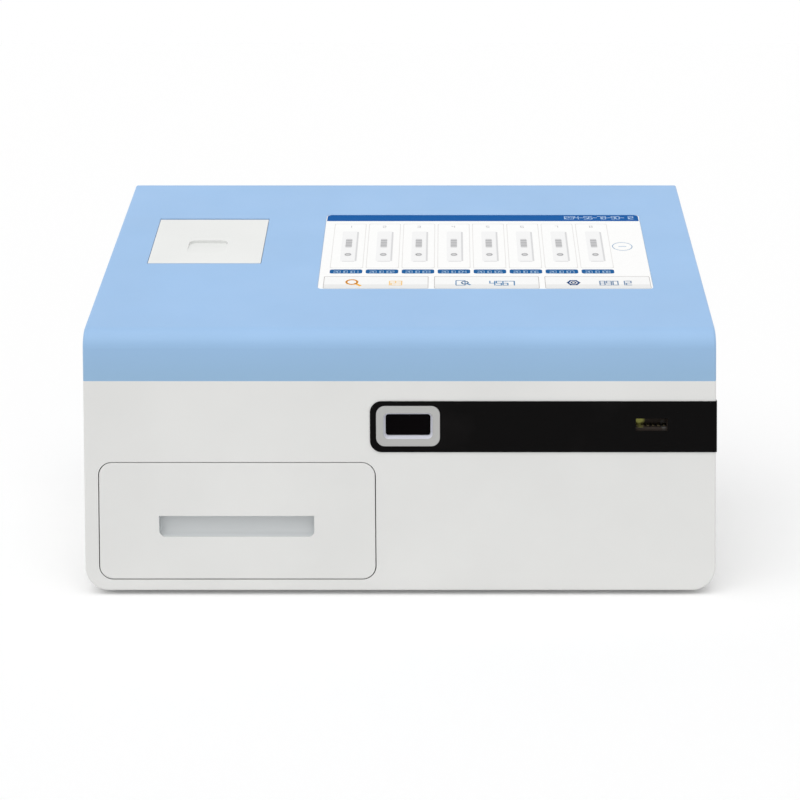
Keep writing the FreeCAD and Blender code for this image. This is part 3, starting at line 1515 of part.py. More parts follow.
def scan_bridge():
    """Bent sheet: a top over the carousel, two legs with feet on the deck, two ends for the rods."""
    xs = bridge_x()
    leg_x = bridge_leg_x()
    reach = bridge_leg_offset()
    top_y = (CAROUSEL_Y - reach - S.bridge_thickness, CAROUSEL_Y + reach + S.bridge_thickness)
    sheets = [block(xs, top_y, (BRIDGE_LEVEL, BRIDGE_LEVEL + S.bridge_thickness))]
    foot_z = (DECK_TOP, DECK_TOP + S.bridge_thickness)
    for y in ((top_y[0], top_y[0] + S.bridge_thickness), (top_y[1] - S.bridge_thickness, top_y[1])):
        sheets.append(block(leg_x, y, (DECK_TOP, BRIDGE_LEVEL + S.bridge_thickness)))
    sheets.append(block(leg_x, (top_y[0] - S.bridge_foot, top_y[0] + S.bridge_thickness), foot_z))
    sheets.append(block(leg_x, (top_y[1] - S.bridge_foot - S.bridge_thickness, top_y[1]), foot_z))
    end_y = centred(CAROUSEL_Y, S.head_depth)
    end_z = (HEAD_BOTTOM, BRIDGE_LEVEL + S.bridge_thickness)
    for x in ((xs[0], xs[0] + S.rod_end), (xs[1] - S.rod_end, xs[1])):
        sheets.append(block(x, end_y, end_z))
    through = (xs[0] - S.overrun, xs[1] + S.overrun)
    holes = [rod_x(through, y, ROD_Z, S.rod_radius + S.running_gap / 2) for y in rod_places()]
    holes.append(rod_x(through, CAROUSEL_Y, ROD_Z, S.screw_radius + S.running_gap))
    holes += [screw_hole(x, y, DECK_TOP + S.bridge_thickness) for x, y in bridge_screw_places()]
    sub_part("scan_bridge", cut(fuse(*sheets), *holes))


def guide_rods():
    sub_part("guide_rods", group([rod_x(bridge_x(), y, ROD_Z, S.rod_radius) for y in rod_places()]))


def leadscrew():
    xs = (bridge_x()[0], bridge_x()[1] + S.rod_end)
    sub_part("leadscrew", rod_x(xs, CAROUSEL_Y, ROD_Z, S.screw_radius))


def scan_motor():
    face = bridge_x()[1]
    side_y = centred(CAROUSEL_Y, S.scan_motor_side)
    side_z = centred(ROD_Z, S.scan_motor_side)
    can = block((face, face + S.scan_motor_length), side_y, side_z)
    bore_x = (face - S.overrun, face + S.rod_end + S.overrun)
    bore = rod_x(bore_x, CAROUSEL_Y, ROD_Z, S.screw_radius + S.running_gap)
    sub_part("scan_motor", cut(can, bore))


def optical_head():
    xs = centred(HEAD_X, S.head_width)
    body = block(xs, centred(CAROUSEL_Y, S.head_depth), (HEAD_BOTTOM, HEAD_BOTTOM + S.head_height))
    through = (xs[0] - S.overrun, xs[1] + S.overrun)
    holes = [rod_x(through, y, ROD_Z, S.rod_radius + S.running_gap) for y in rod_places()]
    holes.append(rod_x(through, CAROUSEL_Y, ROD_Z, S.screw_radius + S.running_gap))
    lens_z = (HEAD_BOTTOM - S.overrun, HEAD_BOTTOM + S.lens_length)
    holes.append(disc(HEAD_X, CAROUSEL_Y, lens_z, S.lens_radius + S.fit_gap / 5))
    sub_part("optical_head", cut(body, *holes))


def head_lens():
    zs = (HEAD_BOTTOM - S.lens_length / 2, HEAD_BOTTOM + S.lens_length)
    sub_part("head_lens", disc(HEAD_X, CAROUSEL_Y, zs, S.lens_radius))


# Display

def display():
    glass_top = -S.glass_recess
    glass_bottom = glass_top - S.glass_thickness
    sub_part("display_glass", slope_pad(screen_outline(Size("0")), (glass_bottom, glass_top)))
    face = slope_pad(screen_outline(Size("0")), (-S.wall * 2, glass_bottom))
    xs = (SCREEN_X[0] - S.lcd_border, SCREEN_X[1] + S.lcd_border)
    alongs = (S.screen_bottom - S.lcd_border, S.screen_top + S.lcd_border)
    frame = slope_block(xs, alongs, (LCD_BACK, -S.wall))
    sub_part("lcd_panel", fuse(face, frame))


def display_bracket():
    """A sheet plate behind the panel, screwed to the bosses beside it."""
    wide = (SCREEN_X[0] - S.bracket_border, SCREEN_X[1] + S.bracket_border)
    outline = rectangle(wide, (S.screen_bottom, S.screen_top), S.screen_corner)
    plate = slope_pad(outline, (BRACKET_BACK, LCD_BACK))
    holes = [slope_screw_hole(x, along, BRACKET_BACK) for x, along in display_boss_places()]
    sub_part("display_bracket", cut(plate, *holes))


# Receipt printer

def printer_lid():
    """The lid, with its rear edge rounded about the hinge pin and cheeks for the platen below."""
    xs = (LID_X[0], LID_X[1])
    leaf = slope_block(xs, (S.lid_bottom, LID_PIN_ALONG), (-S.lid_thickness, Size("0")))
    knuckle = slope_rod_x(xs, LID_PIN_ALONG, LID_PIN_NORMAL, S.lid_thickness / 2)
    cheeks = []
    for side, x in zip((-1, 1), platen_ends()):
        near = x + S.cheek_gap * side
        far = near + S.cheek_thickness * side
        cheek_x = (far, near) if side < 0 else (near, far)
        alongs = centred(PLATEN_ALONG, S.platen_radius * 2)
        cheeks.append(slope_block(cheek_x, alongs, (PLATEN_NORMAL - S.platen_radius, -S.lid_thickness / 2)))
    recess = finger_recess()
    bore = slope_rod_x((xs[0] - S.overrun, xs[1] + S.overrun), LID_PIN_ALONG, LID_PIN_NORMAL,
                       S.lid_pin_radius + S.running_gap)
    journal_x = (platen_ends()[0] - S.cheek_thickness * 2, platen_ends()[1] + S.cheek_thickness * 2)
    journal = slope_rod_x(journal_x, PLATEN_ALONG, PLATEN_NORMAL, S.platen_shaft_radius + S.running_gap)
    sub_part("printer_lid", cut(fuse(leaf, knuckle, *cheeks), recess, bore, journal))


def finger_recess():
    """A ramp that is deepest under its upper edge, with that edge's corners rounded."""
    outline = [
        (FINGER_X[0], S.finger_bottom, None),
        (FINGER_X[1], S.finger_bottom, None),
        (FINGER_X[1], S.finger_top, S.finger_corner),
        (FINGER_X[0], S.finger_top, S.finger_corner),
    ]
    column = slope_pad(outline, (-S.finger_depth, S.overrun))
    ramp_angle = arc_tangent(S.finger_depth / (S.finger_top - S.finger_bottom))
    wedge = plain_box((FINGER_X[0], FINGER_X[1]), (Size("0"), S.finger_top), (Size("0"), S.finger_top))
    put_on_slope(wedge, FINGER_X[0], S.finger_bottom, Size("0"), -ramp_angle)
    return common(column, wedge)


PLATEN_ALONG = S.lid_bottom + S.platen_offset
PLATEN_NORMAL = -S.lid_thickness - S.platen_drop
LID_MIDDLE = (LID_X[0] + LID_X[1]) / 2
ROLL_ALONG = S.lid_bottom + S.roll_offset
ROLL_NORMAL = -S.lid_thickness - S.roll_clearance - S.roll_radius


def platen_ends():
    return centred(LID_MIDDLE, S.platen_width)


def lid_hinge_pin():
    sub_part("lid_hinge_pin", slope_rod_x(lid_pin_span(), LID_PIN_ALONG, LID_PIN_NORMAL, S.lid_pin_radius))


def platen():
    xs = platen_ends()
    body = slope_rod_x(xs, PLATEN_ALONG, PLATEN_NORMAL, S.platen_radius)
    bore_x = (xs[0] - S.overrun, xs[1] + S.overrun)
    bore = slope_rod_x(bore_x, PLATEN_ALONG, PLATEN_NORMAL, S.platen_shaft_radius)
    sub_part("platen_roller", cut(body, bore))
    reach = S.cheek_gap * 2 + S.cheek_thickness
    shaft_x = (xs[0] - reach, xs[1] + reach)
    sub_part("platen_shaft", slope_rod_x(shaft_x, PLATEN_ALONG, PLATEN_NORMAL, S.platen_shaft_radius))


def printer_frame():
    """The well that holds the roll, hung from the cover by its flange."""
    xs = (LID_X[0], LID_X[1])
    alongs = (S.lid_bottom, S.lid_top)
    top = -S.wall
    bottom = top - S.printer_depth
    well = slope_block((xs[0] - S.printer_wall, xs[1] + S.printer_wall),
                       (alongs[0] - S.printer_wall, alongs[1] + S.printer_wall), (bottom, top))
    flange = slope_block((xs[0] - S.printer_flange, xs[1] + S.printer_flange),
                         (alongs[0] - S.printer_flange, alongs[1] + S.printer_flange),
                         (top - S.printer_flange_thickness, top))
    hollow = slope_block(xs, alongs, (bottom + S.printer_wall, top + S.overrun))
    cuts = [hollow]
    for side in (-1, 1):
        edge = LID_X[0] - S.lid_gap if side < 0 else LID_X[1] + S.lid_gap
        far = edge + (S.lid_boss_length + S.fit_gap) * side
        near = edge - S.lid_gap * side
        boss_x = (far, near) if side < 0 else (near, far)
        boss_alongs = centred(LID_PIN_ALONG, (S.lid_boss_length + S.fit_gap) * 2)
        cuts.append(slope_block(boss_x, boss_alongs, (top - S.lid_boss_depth - S.fit_gap, top + S.overrun)))
    cuts.append(slope_rod_x((xs[0] - S.printer_wall - S.overrun, xs[1] + S.printer_wall + S.overrun),
                            ROLL_ALONG, ROLL_NORMAL, spindle_radius() + S.running_gap / 2))
    sub_part("printer_frame", cut(fuse(well, flange), *cuts))


def spindle_radius():
    return S.roll_bore - S.moving_gap


def paper_supply():
    xs = centred(LID_MIDDLE, S.roll_width)
    roll = slope_rod_x(xs, ROLL_ALONG, ROLL_NORMAL, S.roll_radius)
    bore_x = (xs[0] - S.overrun, xs[1] + S.overrun)
    sub_part("paper_roll", cut(roll, slope_rod_x(bore_x, ROLL_ALONG, ROLL_NORMAL, S.roll_bore)))
    spindle_x = (LID_X[0] - S.printer_wall, LID_X[1] + S.printer_wall)
    sub_part("paper_spindle", slope_rod_x(spindle_x, ROLL_ALONG, ROLL_NORMAL, spindle_radius()))


def print_head():
    """The heated bar in front of the platen, on a foot that reaches the well's front wall."""
    face = PLATEN_ALONG - S.platen_radius - S.print_head_gap
    top = -S.print_head_top - S.fit_gap
    bottom = top - S.print_head_height
    xs = platen_ends()
    bar = slope_block(xs, (face - S.print_head_thickness, face), (bottom, top))
    foot = slope_block(xs, (S.lid_bottom, face), (bottom, bottom + S.print_head_thickness))
    sub_part("print_head", fuse(bar, foot))


# Electronics

def main_board():
    width = BOARD_X[1] - BOARD_X[0]
    top = S.board_level + S.board_thickness
    board = block(BOARD_X, BOARD_Y, (S.board_level, top))
    chip_shares = ((0.2, 0.5, 0.16, 0.3, 1.5), (0.5, 0.35, 0.1, 0.2, 1), (0.5, 0.75, 0.12, 0.14, 1),
                   (0.78, 0.6, 0.1, 0.36, 5), (0.35, 0.88, 0.1, 0.08, 4), (0.7, 0.14, 0.2, 0.09, 4))
    chips = []
    for x_share, y_share, width_share, depth_share, height_share in chip_shares:
        chip_x = centred(BOARD_X[0] + width * x_share, width * width_share)
        chip_y = centred(BOARD_Y[0] + S.board_depth * y_share, S.board_depth * depth_share)
        chips.append(block(chip_x, chip_y, (top, top + S.board_thickness * height_share)))
    holes = [screw_hole(x, y, top) for x, y in board_post_places()]
    sub_part("main_board", cut(fuse(board, *chips), *holes))


def power_supply():
    xs = (RIGHT - S.supply_side - S.supply_width, RIGHT - S.supply_side)
    ys = (BOARD_Y[1] + S.supply_gap, BACK - S.supply_back_gap)
    top = FLOOR + S.supply_foot + S.supply_height
    box = block(xs, ys, (FLOOR + S.supply_foot, top))
    feet = [block(xs, span, (FLOOR, FLOOR + S.supply_foot))
            for span in ((ys[0], ys[0] + S.board_inset), (ys[1] - S.board_inset, ys[1]))]
    slots = []
    for index in range(SIZES["grille_count"]):
        x = xs[0] + S.supply_width / (SIZES["grille_count"] + 1) * (index + 1)
        slot_y = centred((ys[0] + ys[1]) / 2, (ys[1] - ys[0]) / 2)
        slots.append(block(centred(x, S.grille_slot), slot_y, (top - S.supply_cover, top + S.overrun)))
    sub_part("power_supply", cut(fuse(box, *feet), *slots))


def power_inlet():
    """A mains inlet with a recessed mouth whose lower corners are cut off."""
    flange_x = centred(SOCKET_X, S.socket_flange_width)
    flange_z = centred(REAR_LEVEL, S.socket_flange_height)
    flange = pad("XZ", rectangle(flange_x, flange_z, S.panel_corner / 2), (BACK, BACK + S.rear_proud))
    xs, zs = socket_body_ranges(Size("0"))
    body = block(xs, (BACK + S.overrun - S.socket_body_depth, BACK + S.overrun), zs)
    mouth_x = centred(SOCKET_X, S.socket_mouth_width)
    mouth_z = centred(REAR_LEVEL, S.socket_mouth_height)
    bevel = S.socket_mouth_chamfer
    corners = [
        (mouth_x[0] + bevel, mouth_z[0], None),
        (mouth_x[1] - bevel, mouth_z[0], None),
        (mouth_x[1], mouth_z[0] + bevel, None),
        (mouth_x[1], mouth_z[1], None),
        (mouth_x[0], mouth_z[1], None),
        (mouth_x[0], mouth_z[0] + bevel, None),
    ]
    face = BACK + S.rear_proud
    mouth = pad("XZ", corners, (face - S.socket_mouth_depth, face + S.overrun))
    holes = [screw_hole(x, face, REAR_LEVEL, "back") for x in socket_screw_places()]
    sub_part("power_inlet", cut(fuse(flange, body), mouth, *holes))


def inlet_pins():
    floor = BACK + S.rear_proud - S.socket_mouth_depth
    ys = (floor, floor + S.pin_length)
    pins = []
    for share, rise in ((-0.5, -0.5), (0, 0.5), (0.5, -0.5)):
        x = SOCKET_X + S.pin_pitch * share
        z = REAR_LEVEL + S.pin_stagger * rise
        pins.append(block(centred(x, S.pin_width), ys, centred(z, S.pin_height)))
    sub_part("inlet_pins", group(pins))


def power_switch():
    """A rocker in its frame, shown tipped to off."""
    frame_x = centred(SWITCH_X, S.switch_width)
    frame_z = centred(REAR_LEVEL, S.switch_height)
    flange = pad("XZ", rectangle(frame_x, frame_z, S.switch_rim), (BACK, BACK + S.switch_flange))
    xs, zs = switch_body_ranges(Size("0"))
    body = block(xs, (BACK + S.overrun - S.switch_body_depth, BACK + S.overrun), zs)
    well_x = (xs[0] + S.switch_rim, xs[1] - S.switch_rim)
    well_z = (zs[0] + S.switch_rim, zs[1] - S.switch_rim)
    well = block(well_x, (BACK - S.switch_body_depth / 2, BACK + S.switch_flange + S.overrun), well_z)
    pin_y = BACK - S.switch_rim * 2
    pin_x = (xs[0] + S.switch_rim / 2, xs[1] - S.switch_rim / 2)
    hole = rod_x(pin_x, pin_y, REAR_LEVEL, S.rocker_pin_radius + S.running_gap)
    sub_part("switch_frame", cut(fuse(flange, body), well, hole))
    rocker_x = (well_x[0] + S.moving_gap, well_x[1] - S.moving_gap)
    half_height = (well_z[1] - well_z[0]) / 2 - S.moving_gap * 2
    depth = S.switch_flange + S.switch_rim * 2
    top = depth - half_height * sine(S.rocker_angle) * 0.5
    corners = [
        (-S.switch_rim, -half_height * 0.8, None),
        (top, -half_height, None),
        (top - half_height * sine(S.rocker_angle), Size("0"), None),
        (top, half_height, None),
        (-S.switch_rim, half_height * 0.8, None),
    ]
    key = pad("YZ", corners, rocker_x)
    axle = put(plain_cylinder(S.rocker_pin_radius, pin_x[1] - pin_x[0]), pin_x[0], 0, 0, "right")
    rocker = fuse(key, axle)
    rocker.Placement = Placement(Vector(), Rotation(Vector(1, 0, 0), number(S.rocker_angle)))
    rocker.setExpression("Placement.Rotation.Angle", text_of(S.rocker_angle))
    rocker.setExpression("Placement.Base.y", text_of(pin_y))
    rocker.setExpression("Placement.Base.z", text_of(REAR_LEVEL))
    sub_part("power_rocker", rocker)


def io_board():
    xs = (PORTS_LEFT, PORTS_LEFT + S.ports_width)
    ys = (BACK - S.wall - S.ports_depth, BACK - S.wall)
    board = block(xs, ys, (PORTS_LEVEL, PORTS_LEVEL + S.board_thickness))
    posts = []
    for x in (xs[0] + S.board_inset, xs[1] - S.board_inset):
        for y in (ys[0] + S.board_inset * 2, ys[1] - S.board_inset * 2):
            posts.append(disc(x, y, (FLOOR, PORTS_LEVEL), S.board_post_radius))
    sub_part("io_board", fuse(board, *posts))


def data_ports():
    """One bank of connectors. Each is a hollow that opens to the back and is closed inside."""
    ys = (BACK + S.port_proud - S.port_length, BACK + S.port_proud)
    bank_x, bank_z = port_bank_ranges(Size("0"))
    hollows = []
    for xs, zs in port_ranges():
        inner_x = (xs[0] + S.port_wall, xs[1] - S.port_wall)
        inner_z = (zs[0] + S.port_wall, zs[1] - S.port_wall)
        hollows.append(block(inner_x, (ys[0] + S.port_wall * 2, ys[1] + S.overrun), inner_z))
    sub_part("data_ports", cut(block(bank_x, ys, bank_z), *hollows))


# Fan

FAN_BACK = BACK - S.panel_thickness
FAN_Y = (FAN_BACK - S.fan_thickness, FAN_BACK)


def fan_frame():
    xs = centred(FAN_X, S.fan_side)
    zs = centred(REAR_LEVEL, S.fan_side)
    body = pad("XZ", rectangle(xs, zs, S.fan_corner), FAN_Y)
    bore = rod_y(FAN_X, (FAN_Y[0] - S.overrun, FAN_Y[1] + S.overrun), REAR_LEVEL, S.fan_bore)
    hub_y = (FAN_Y[0], FAN_Y[0] + S.fan_hub_plate)
    hub = rod_y(FAN_X, hub_y, REAR_LEVEL, S.fan_hub)
    across = block(xs, hub_y, centred(REAR_LEVEL, S.fan_spoke))
    down = block(centred(FAN_X, S.fan_spoke), hub_y, zs)
    axle_y = (FAN_Y[0], FAN_Y[1] - S.fan_hub_plate * 2)
    axle = rod_y(FAN_X, axle_y, REAR_LEVEL, S.motor_shaft_radius)
    holes = [screw_hole(x, BACK, z, "back") for x, z in fan_screw_places()]
    sub_part("fan_frame", cut(fuse(cut(body, bore), hub, across, down, axle), *holes))


def fan_rotor():
    ys = (FAN_Y[0] + S.fan_hub_plate + S.moving_gap, FAN_Y[1] - S.moving_gap)
    hub = rod_y(FAN_X, ys, REAR_LEVEL, S.fan_hub)
    bore = rod_y(FAN_X, (ys[0] - S.overrun, FAN_Y[1] - S.fan_hub_plate * 2 + S.moving_gap), REAR_LEVEL,
                 S.motor_shaft_radius + S.running_gap)
    blades = []
    middle = (ys[0] + ys[1]) / 2
    for index in range(SIZES["blade_count"]):
        blade = document.addObject("Part::Box", "blade")
        bind(blade, Length=S.fan_bore, Width=S.blade_thickness, Height=S.blade_chord)
        put(blade, 0, -S.blade_thickness / 2, -S.blade_chord / 2)
        pitched = group([blade])
        around = Rotation(Vector(0, 1, 0), 360 / SIZES["blade_count"] * index)
        pitched.Placement = Placement(Vector(), around * Rotation(Vector(1, 0, 0), number(S.blade_pitch)))
        for letter, size in zip("xyz", (FAN_X, middle, REAR_LEVEL)):
            pitched.setExpression(f"Placement.Base.{letter}", text_of(size))
        blades.append(pitched)
    sweep = rod_y(FAN_X, ys, REAR_LEVEL, S.fan_bore - S.fan_tip_gap)
    sub_part("fan_rotor", cut(fuse(hub, common(fuse(*blades), sweep)), bore))


def build():
    outer = case_hull(Size("0"), S.edge_round)
    inner = case_hull(S.wall)
    base_housing(outer, inner, band_groove())
    top_cover(outer, inner)
    for make in (
        rear_panel, case_screws, rubber_feet, front_band, inlet_bezel, inlet_flap, flap_pin, card_guide,
        chip_socket, chip_contacts, drawer_front, waste_bin, drawer_screws, drawer_runners, strike_plate,
        drawer_magnet, deck_plate, deck_posts, deck_screws, incubator_plate, plate_spacers, carousel,
        carousel_shaft, shaft_bearings, belt_drive, carousel_motor, waste_shutter, shutter_guides,
        gate_solenoid, scan_bridge, guide_rods, leadscrew, scan_motor, optical_head, head_lens, display,
        display_bracket, printer_lid, lid_hinge_pin, platen, printer_frame, paper_supply,
        print_head, main_board, power_supply, power_inlet, inlet_pins, power_switch, io_board, data_ports,
        fan_frame, fan_rotor,
    ):
        make()
    document.recompute()


def check_and_write():
    for thing in document.Objects:
        if "Invalid" in thing.State or "Error" in thing.State:
            raise RuntimeError(f"{thing.Label} ({thing.Name}) did not build: {thing.State}")
    os.makedirs("parts", exist_ok=True)
    for thing in sub_parts:
        shape = thing.Shape
        if shape.isNull() or not shape.isValid() or not shape.Solids:
            raise RuntimeError(f"{thing.Label} has no valid solid")
        shape.exportStep(os.path.join("parts", f"{thing.Label}.step"))
        print(f"{thing.Label}: {len(shape.Solids)} solids, {shape.Volume / 1000:.1f} cm3")


build()
check_and_write()
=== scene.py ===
import json
import math

import bpy
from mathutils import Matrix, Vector


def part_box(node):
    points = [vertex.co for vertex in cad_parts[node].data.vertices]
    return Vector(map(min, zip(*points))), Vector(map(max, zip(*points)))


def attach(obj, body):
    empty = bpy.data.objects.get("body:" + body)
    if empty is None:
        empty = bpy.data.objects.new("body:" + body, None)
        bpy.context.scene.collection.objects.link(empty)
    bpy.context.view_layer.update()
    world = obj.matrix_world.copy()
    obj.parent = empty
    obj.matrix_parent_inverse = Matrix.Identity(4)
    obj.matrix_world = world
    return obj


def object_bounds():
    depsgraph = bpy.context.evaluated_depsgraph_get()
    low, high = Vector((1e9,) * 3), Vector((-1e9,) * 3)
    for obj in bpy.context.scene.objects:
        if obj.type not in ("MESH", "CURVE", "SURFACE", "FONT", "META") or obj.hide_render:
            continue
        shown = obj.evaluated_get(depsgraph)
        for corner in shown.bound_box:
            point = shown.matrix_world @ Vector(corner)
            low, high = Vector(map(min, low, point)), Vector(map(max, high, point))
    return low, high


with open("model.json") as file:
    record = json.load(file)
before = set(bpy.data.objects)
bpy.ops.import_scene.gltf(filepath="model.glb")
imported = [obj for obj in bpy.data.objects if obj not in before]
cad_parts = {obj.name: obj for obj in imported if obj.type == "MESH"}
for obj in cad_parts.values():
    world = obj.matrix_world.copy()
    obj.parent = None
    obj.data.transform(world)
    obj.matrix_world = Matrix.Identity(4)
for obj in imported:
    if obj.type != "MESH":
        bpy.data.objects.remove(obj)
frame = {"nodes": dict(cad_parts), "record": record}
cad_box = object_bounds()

# The display and the printer lid lie on a slope that climbs to the back at this angle.
SLOPE = math.radians(15)
# Each layer of the picture on the display lies this far above the one below it, in metres.
LAYER = 0.00002


def srgb(red, green, blue):
    """A colour given as it looks on a screen, from 0 to 255, turned into the shader's linear light."""
    def linear(value):
        share = value / 255
        return share / 12.92 if share <= 0.04045 else ((share + 0.055) / 1.055) ** 2.4
    return (linear(red), linear(green), linear(blue), 1.0)


def scaled(colour, factor):
    return tuple(min(1.0, channel * factor) for channel in colour[:3]) + (1.0,)


# Materials

def new_material(name, colour, roughness, metallic=0.0, specular=0.5):
    material = bpy.data.materials.new(name)
    material.use_nodes = True
    shader = material.node_tree.nodes["Principled BSDF"]
    shader.inputs["Base Color"].default_value = colour
    shader.inputs["Roughness"].default_value = roughness
    shader.inputs["Metallic"].default_value = metallic
    shader.inputs["Specular IOR Level"].default_value = specular
    return material


def add_node(material, kind, **settings):
    node = material.node_tree.nodes.new(kind)
    for name, value in settings.items():
        setattr(node, name, value)
    return node


def link(material, source, target):
    material.node_tree.links.new(source, target)


def shader_of(material):
    return material.node_tree.nodes["Principled BSDF"]


def place_output(material, stretch=(1, 1, 1), centre=(0, 0, 0)):
    """Places on the surface in metres, squeezed along each axis by the stretch, about the centre."""
    coordinates = add_node(material, "ShaderNodeTexCoord")
    mapping = add_node(material, "ShaderNodeMapping", vector_type="TEXTURE")
    mapping.inputs["Location"].default_value = centre
    mapping.inputs["Scale"].default_value = stretch
    link(material, coordinates.outputs["Object"], mapping.inputs["Vector"])
    return mapping.outputs["Vector"]


def noise_output(material, size, detail=2.0, stretch=(1, 1, 1)):
    """A smooth random value from 0 to 1 whose lumps are about the size across."""
    noise = add_node(material, "ShaderNodeTexNoise")
    noise.inputs["Scale"].default_value = 1 / size
    noise.inputs["Detail"].default_value = detail
    link(material, place_output(material, stretch), noise.inputs["Vector"])
    return noise.outputs["Fac"]


def ranged_output(material, source, low, high, start=0.3, end=0.7):
    spread = add_node(material, "ShaderNodeMapRange")
    spread.inputs["From Min"].default_value = start
    spread.inputs["From Max"].default_value = end
    spread.inputs["To Min"].default_value = low
    spread.inputs["To Max"].default_value = high
    link(material, source, spread.inputs["Value"])
    return spread.outputs["Result"]


def mixed_output(material, factor, first, second):
    mix = add_node(material, "ShaderNodeMix", data_type="RGBA")
    link(material, factor, mix.inputs["Factor"])
    colours = [socket for socket in mix.inputs if socket.type == "RGBA"]
    for socket, value in zip(colours, (first, second)):
        if isinstance(value, tuple):
            socket.default_value = value
        else:
            link(material, value, socket)
    return [socket for socket in mix.outputs if socket.type == "RGBA"][0]


def add_bump(material, height, depth, strength=1.0):
    """Raises and sinks the surface by the depth, after any bump that it has already."""
    bump = add_node(material, "ShaderNodeBump")
    bump.inputs["Strength"].default_value = strength
    bump.inputs["Distance"].default_value = depth
    link(material, height, bump.inputs["Height"])
    normal = shader_of(material).inputs["Normal"]
    if normal.links:
        link(material, normal.links[0].from_socket, bump.inputs["Normal"])
    link(material, bump.outputs["Normal"], normal)


def edge_output(material, radius):
    """1 within the radius of a sharp edge and 0 on a flat face."""
    bevel = add_node(material, "ShaderNodeBevel", samples=4)
    bevel.inputs["Radius"].default_value = radius
    geometry = add_node(material, "ShaderNodeNewGeometry")
    turn = add_node(material, "ShaderNodeVectorMath", operation="DOT_PRODUCT")
    link(material, bevel.outputs["Normal"], turn.inputs[0])
    link(material, geometry.outputs["Normal"], turn.inputs[1])
    return ranged_output(material, turn.outputs["Value"], 1.0, 0.0, start=0.80, end=0.99)


def moulded(name, colour, roughness, grain=0.0007, depth=0.000012, handling=0.05, specular=0.5):
    """Moulded plastic: a spark-eroded grain, faint flow marks in the colour and rubbed edges."""
    material = new_material(name, colour, roughness, specular=specular)
    shader = shader_of(material)
    flow = noise_output(material, 0.07, detail=3.0)
    tinted = mixed_output(material, ranged_output(material, flow, 0.0, 1.0),
                          scaled(colour, 0.975), scaled(colour, 1.02))
    worn = mixed_output(material, edge_output(material, 0.0006), tinted, scaled(colour, 1.10))
    link(material, worn, shader.inputs["Base Color"])
    rubbed = noise_output(material, 0.03, detail=4.0)
    link(material, ranged_output(material, rubbed, roughness - handling, roughness + handling),
         shader.inputs["Roughness"])
    add_bump(material, noise_output(material, grain, detail=1.0), depth)
    return material


def along_output(material, axis, start, end):
    """0 before the start and 1 past the end along one axis, in metres."""
    split = add_node(material, "ShaderNodeSeparateXYZ")
    link(material, place_output(material), split.inputs["Vector"])
    return ranged_output(material, split.outputs[axis], 0.0, 1.0, start=start, end=end)


def spot_output(material, centre, reach):
    """1 at the centre, fading to 0 at the reach along each axis, in metres."""
    spot = add_node(material, "ShaderNodeTexGradient", gradient_type="SPHERICAL")
    link(material, place_output(material, stretch=reach, centre=centre), spot.inputs["Vector"])
    return ranged_output(material, spot.outputs["Fac"], 0.0, 1.0, start=0.1, end=0.6)


def cover_plastic(name):
    """The light blue of the cover, with painted shade: greyer down its front, which takes less light than
    its top.
    """
    painted_shade_below = 0.146
    unshaded_above = 0.176
    material = moulded(name, srgb(154, 190, 229), 0.46, specular=0.3)
    base = shader_of(material).inputs["Base Color"]
    top = base.links[0].from_socket
    height = along_output(material, "Z", painted_shade_below, unshaded_above)
    # Painted shade: below the brow the colour turns to a greyer blue, standing in for the front taking
    # less light than the top.
    link(material, mixed_output(material, height, srgb(148, 183, 215), top), base)
    return material


def bezel_plastic(name):
    """Grey plastic with a paler funnel, which lies behind the bezel's face: painted light for the light
    its sloping faces catch.
    """
    material = moulded(name, srgb(178, 178, 176), 0.40, depth=0.000006)
    base = shader_of(material).inputs["Base Color"]
    face = base.links[0].from_socket
    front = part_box("inlet_bezel")[0].y
    inward = along_output(material, "Y", front + 0.0002, front + 0.0006)
    # Painted light: the funnel's faces get a pale bluish white in place of the light they catch.
    link(material, mixed_output(material, inward, face, srgb(226, 227, 236)), base)
    return material


def drawer_plastic_painted_shade(name):
    """The housing's plastic, with painted shade: greyer inside the finger slot, where less light reaches.
    """
    material = moulded(name, srgb(226, 226, 224), 0.52)
    base = shader_of(material).inputs["Base Color"]
    face = base.links[0].from_socket
    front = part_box("drawer_front")[0].y
    inward = along_output(material, "Y", front + 0.0006, front + 0.0022)
    # Painted shade: the inside of the finger slot is mixed to a greyer colour, standing in for the shade
    # in the recess.
    link(material, mixed_output(material, inward, face, srgb(216, 219, 220)), base)
    return material


def socket_plastic(name):
    """Dark plastic with a painted olive glow at the left of its slot, in place of a lit lamp, and a grey
    mark at the right.
    """
    material = moulded(name, srgb(74, 66, 60), 0.50, specular=0.1)
    base = shader_of(material).inputs["Base Color"]
    plain = base.links[0].from_socket
    low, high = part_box("chip_socket")
    depth = (low.y + high.y) / 2
    through = 0.06
    left = spot_output(material, (0.1536, depth, 0.1134), (0.0044, through, 0.0032))
    right = spot_output(material, (0.1685, depth, 0.1115), (0.0022, through, 0.0026))
    # Painted light: an olive spot in the colour, made to glow by the emission below, though the socket
    # plastic is no lamp.
    painted_glow = mixed_output(material, left, plain, srgb(186, 186, 104))
    shader_of(material).inputs["Emission Color"].default_value = srgb(150, 150, 80)
    link(material, ranged_output(material, left, 0.0, 0.30, start=0.0, end=1.0),
         shader_of(material).inputs["Emission Strength"])
    link(material, mixed_output(material, right, painted_glow, srgb(110, 110, 108)), base)
    return material


def glossy(name, colour, roughness, specular):
    """Polished plastic: long waves from the mould, and fine wiping marks in the gloss."""
    material = new_material(name, colour, roughness, specular=specular)
    smear = noise_output(material, 0.02, detail=5.0, stretch=(4, 1, 1))
    link(material, ranged_output(material, smear, roughness * 0.6, roughness * 1.6),
         shader_of(material).inputs["Roughness"])
    haze = noise_output(material, 0.035, detail=3.0)
    cloudy = mixed_output(material, ranged_output(material, haze, 0.0, 1.0, start=0.55, end=0.8),
                          colour, scaled(colour, 2.4))
    link(material, cloudy, shader_of(material).inputs["Base Color"])
    add_bump(material, noise_output(material, 0.05, detail=1.0), 0.00003)
    return material


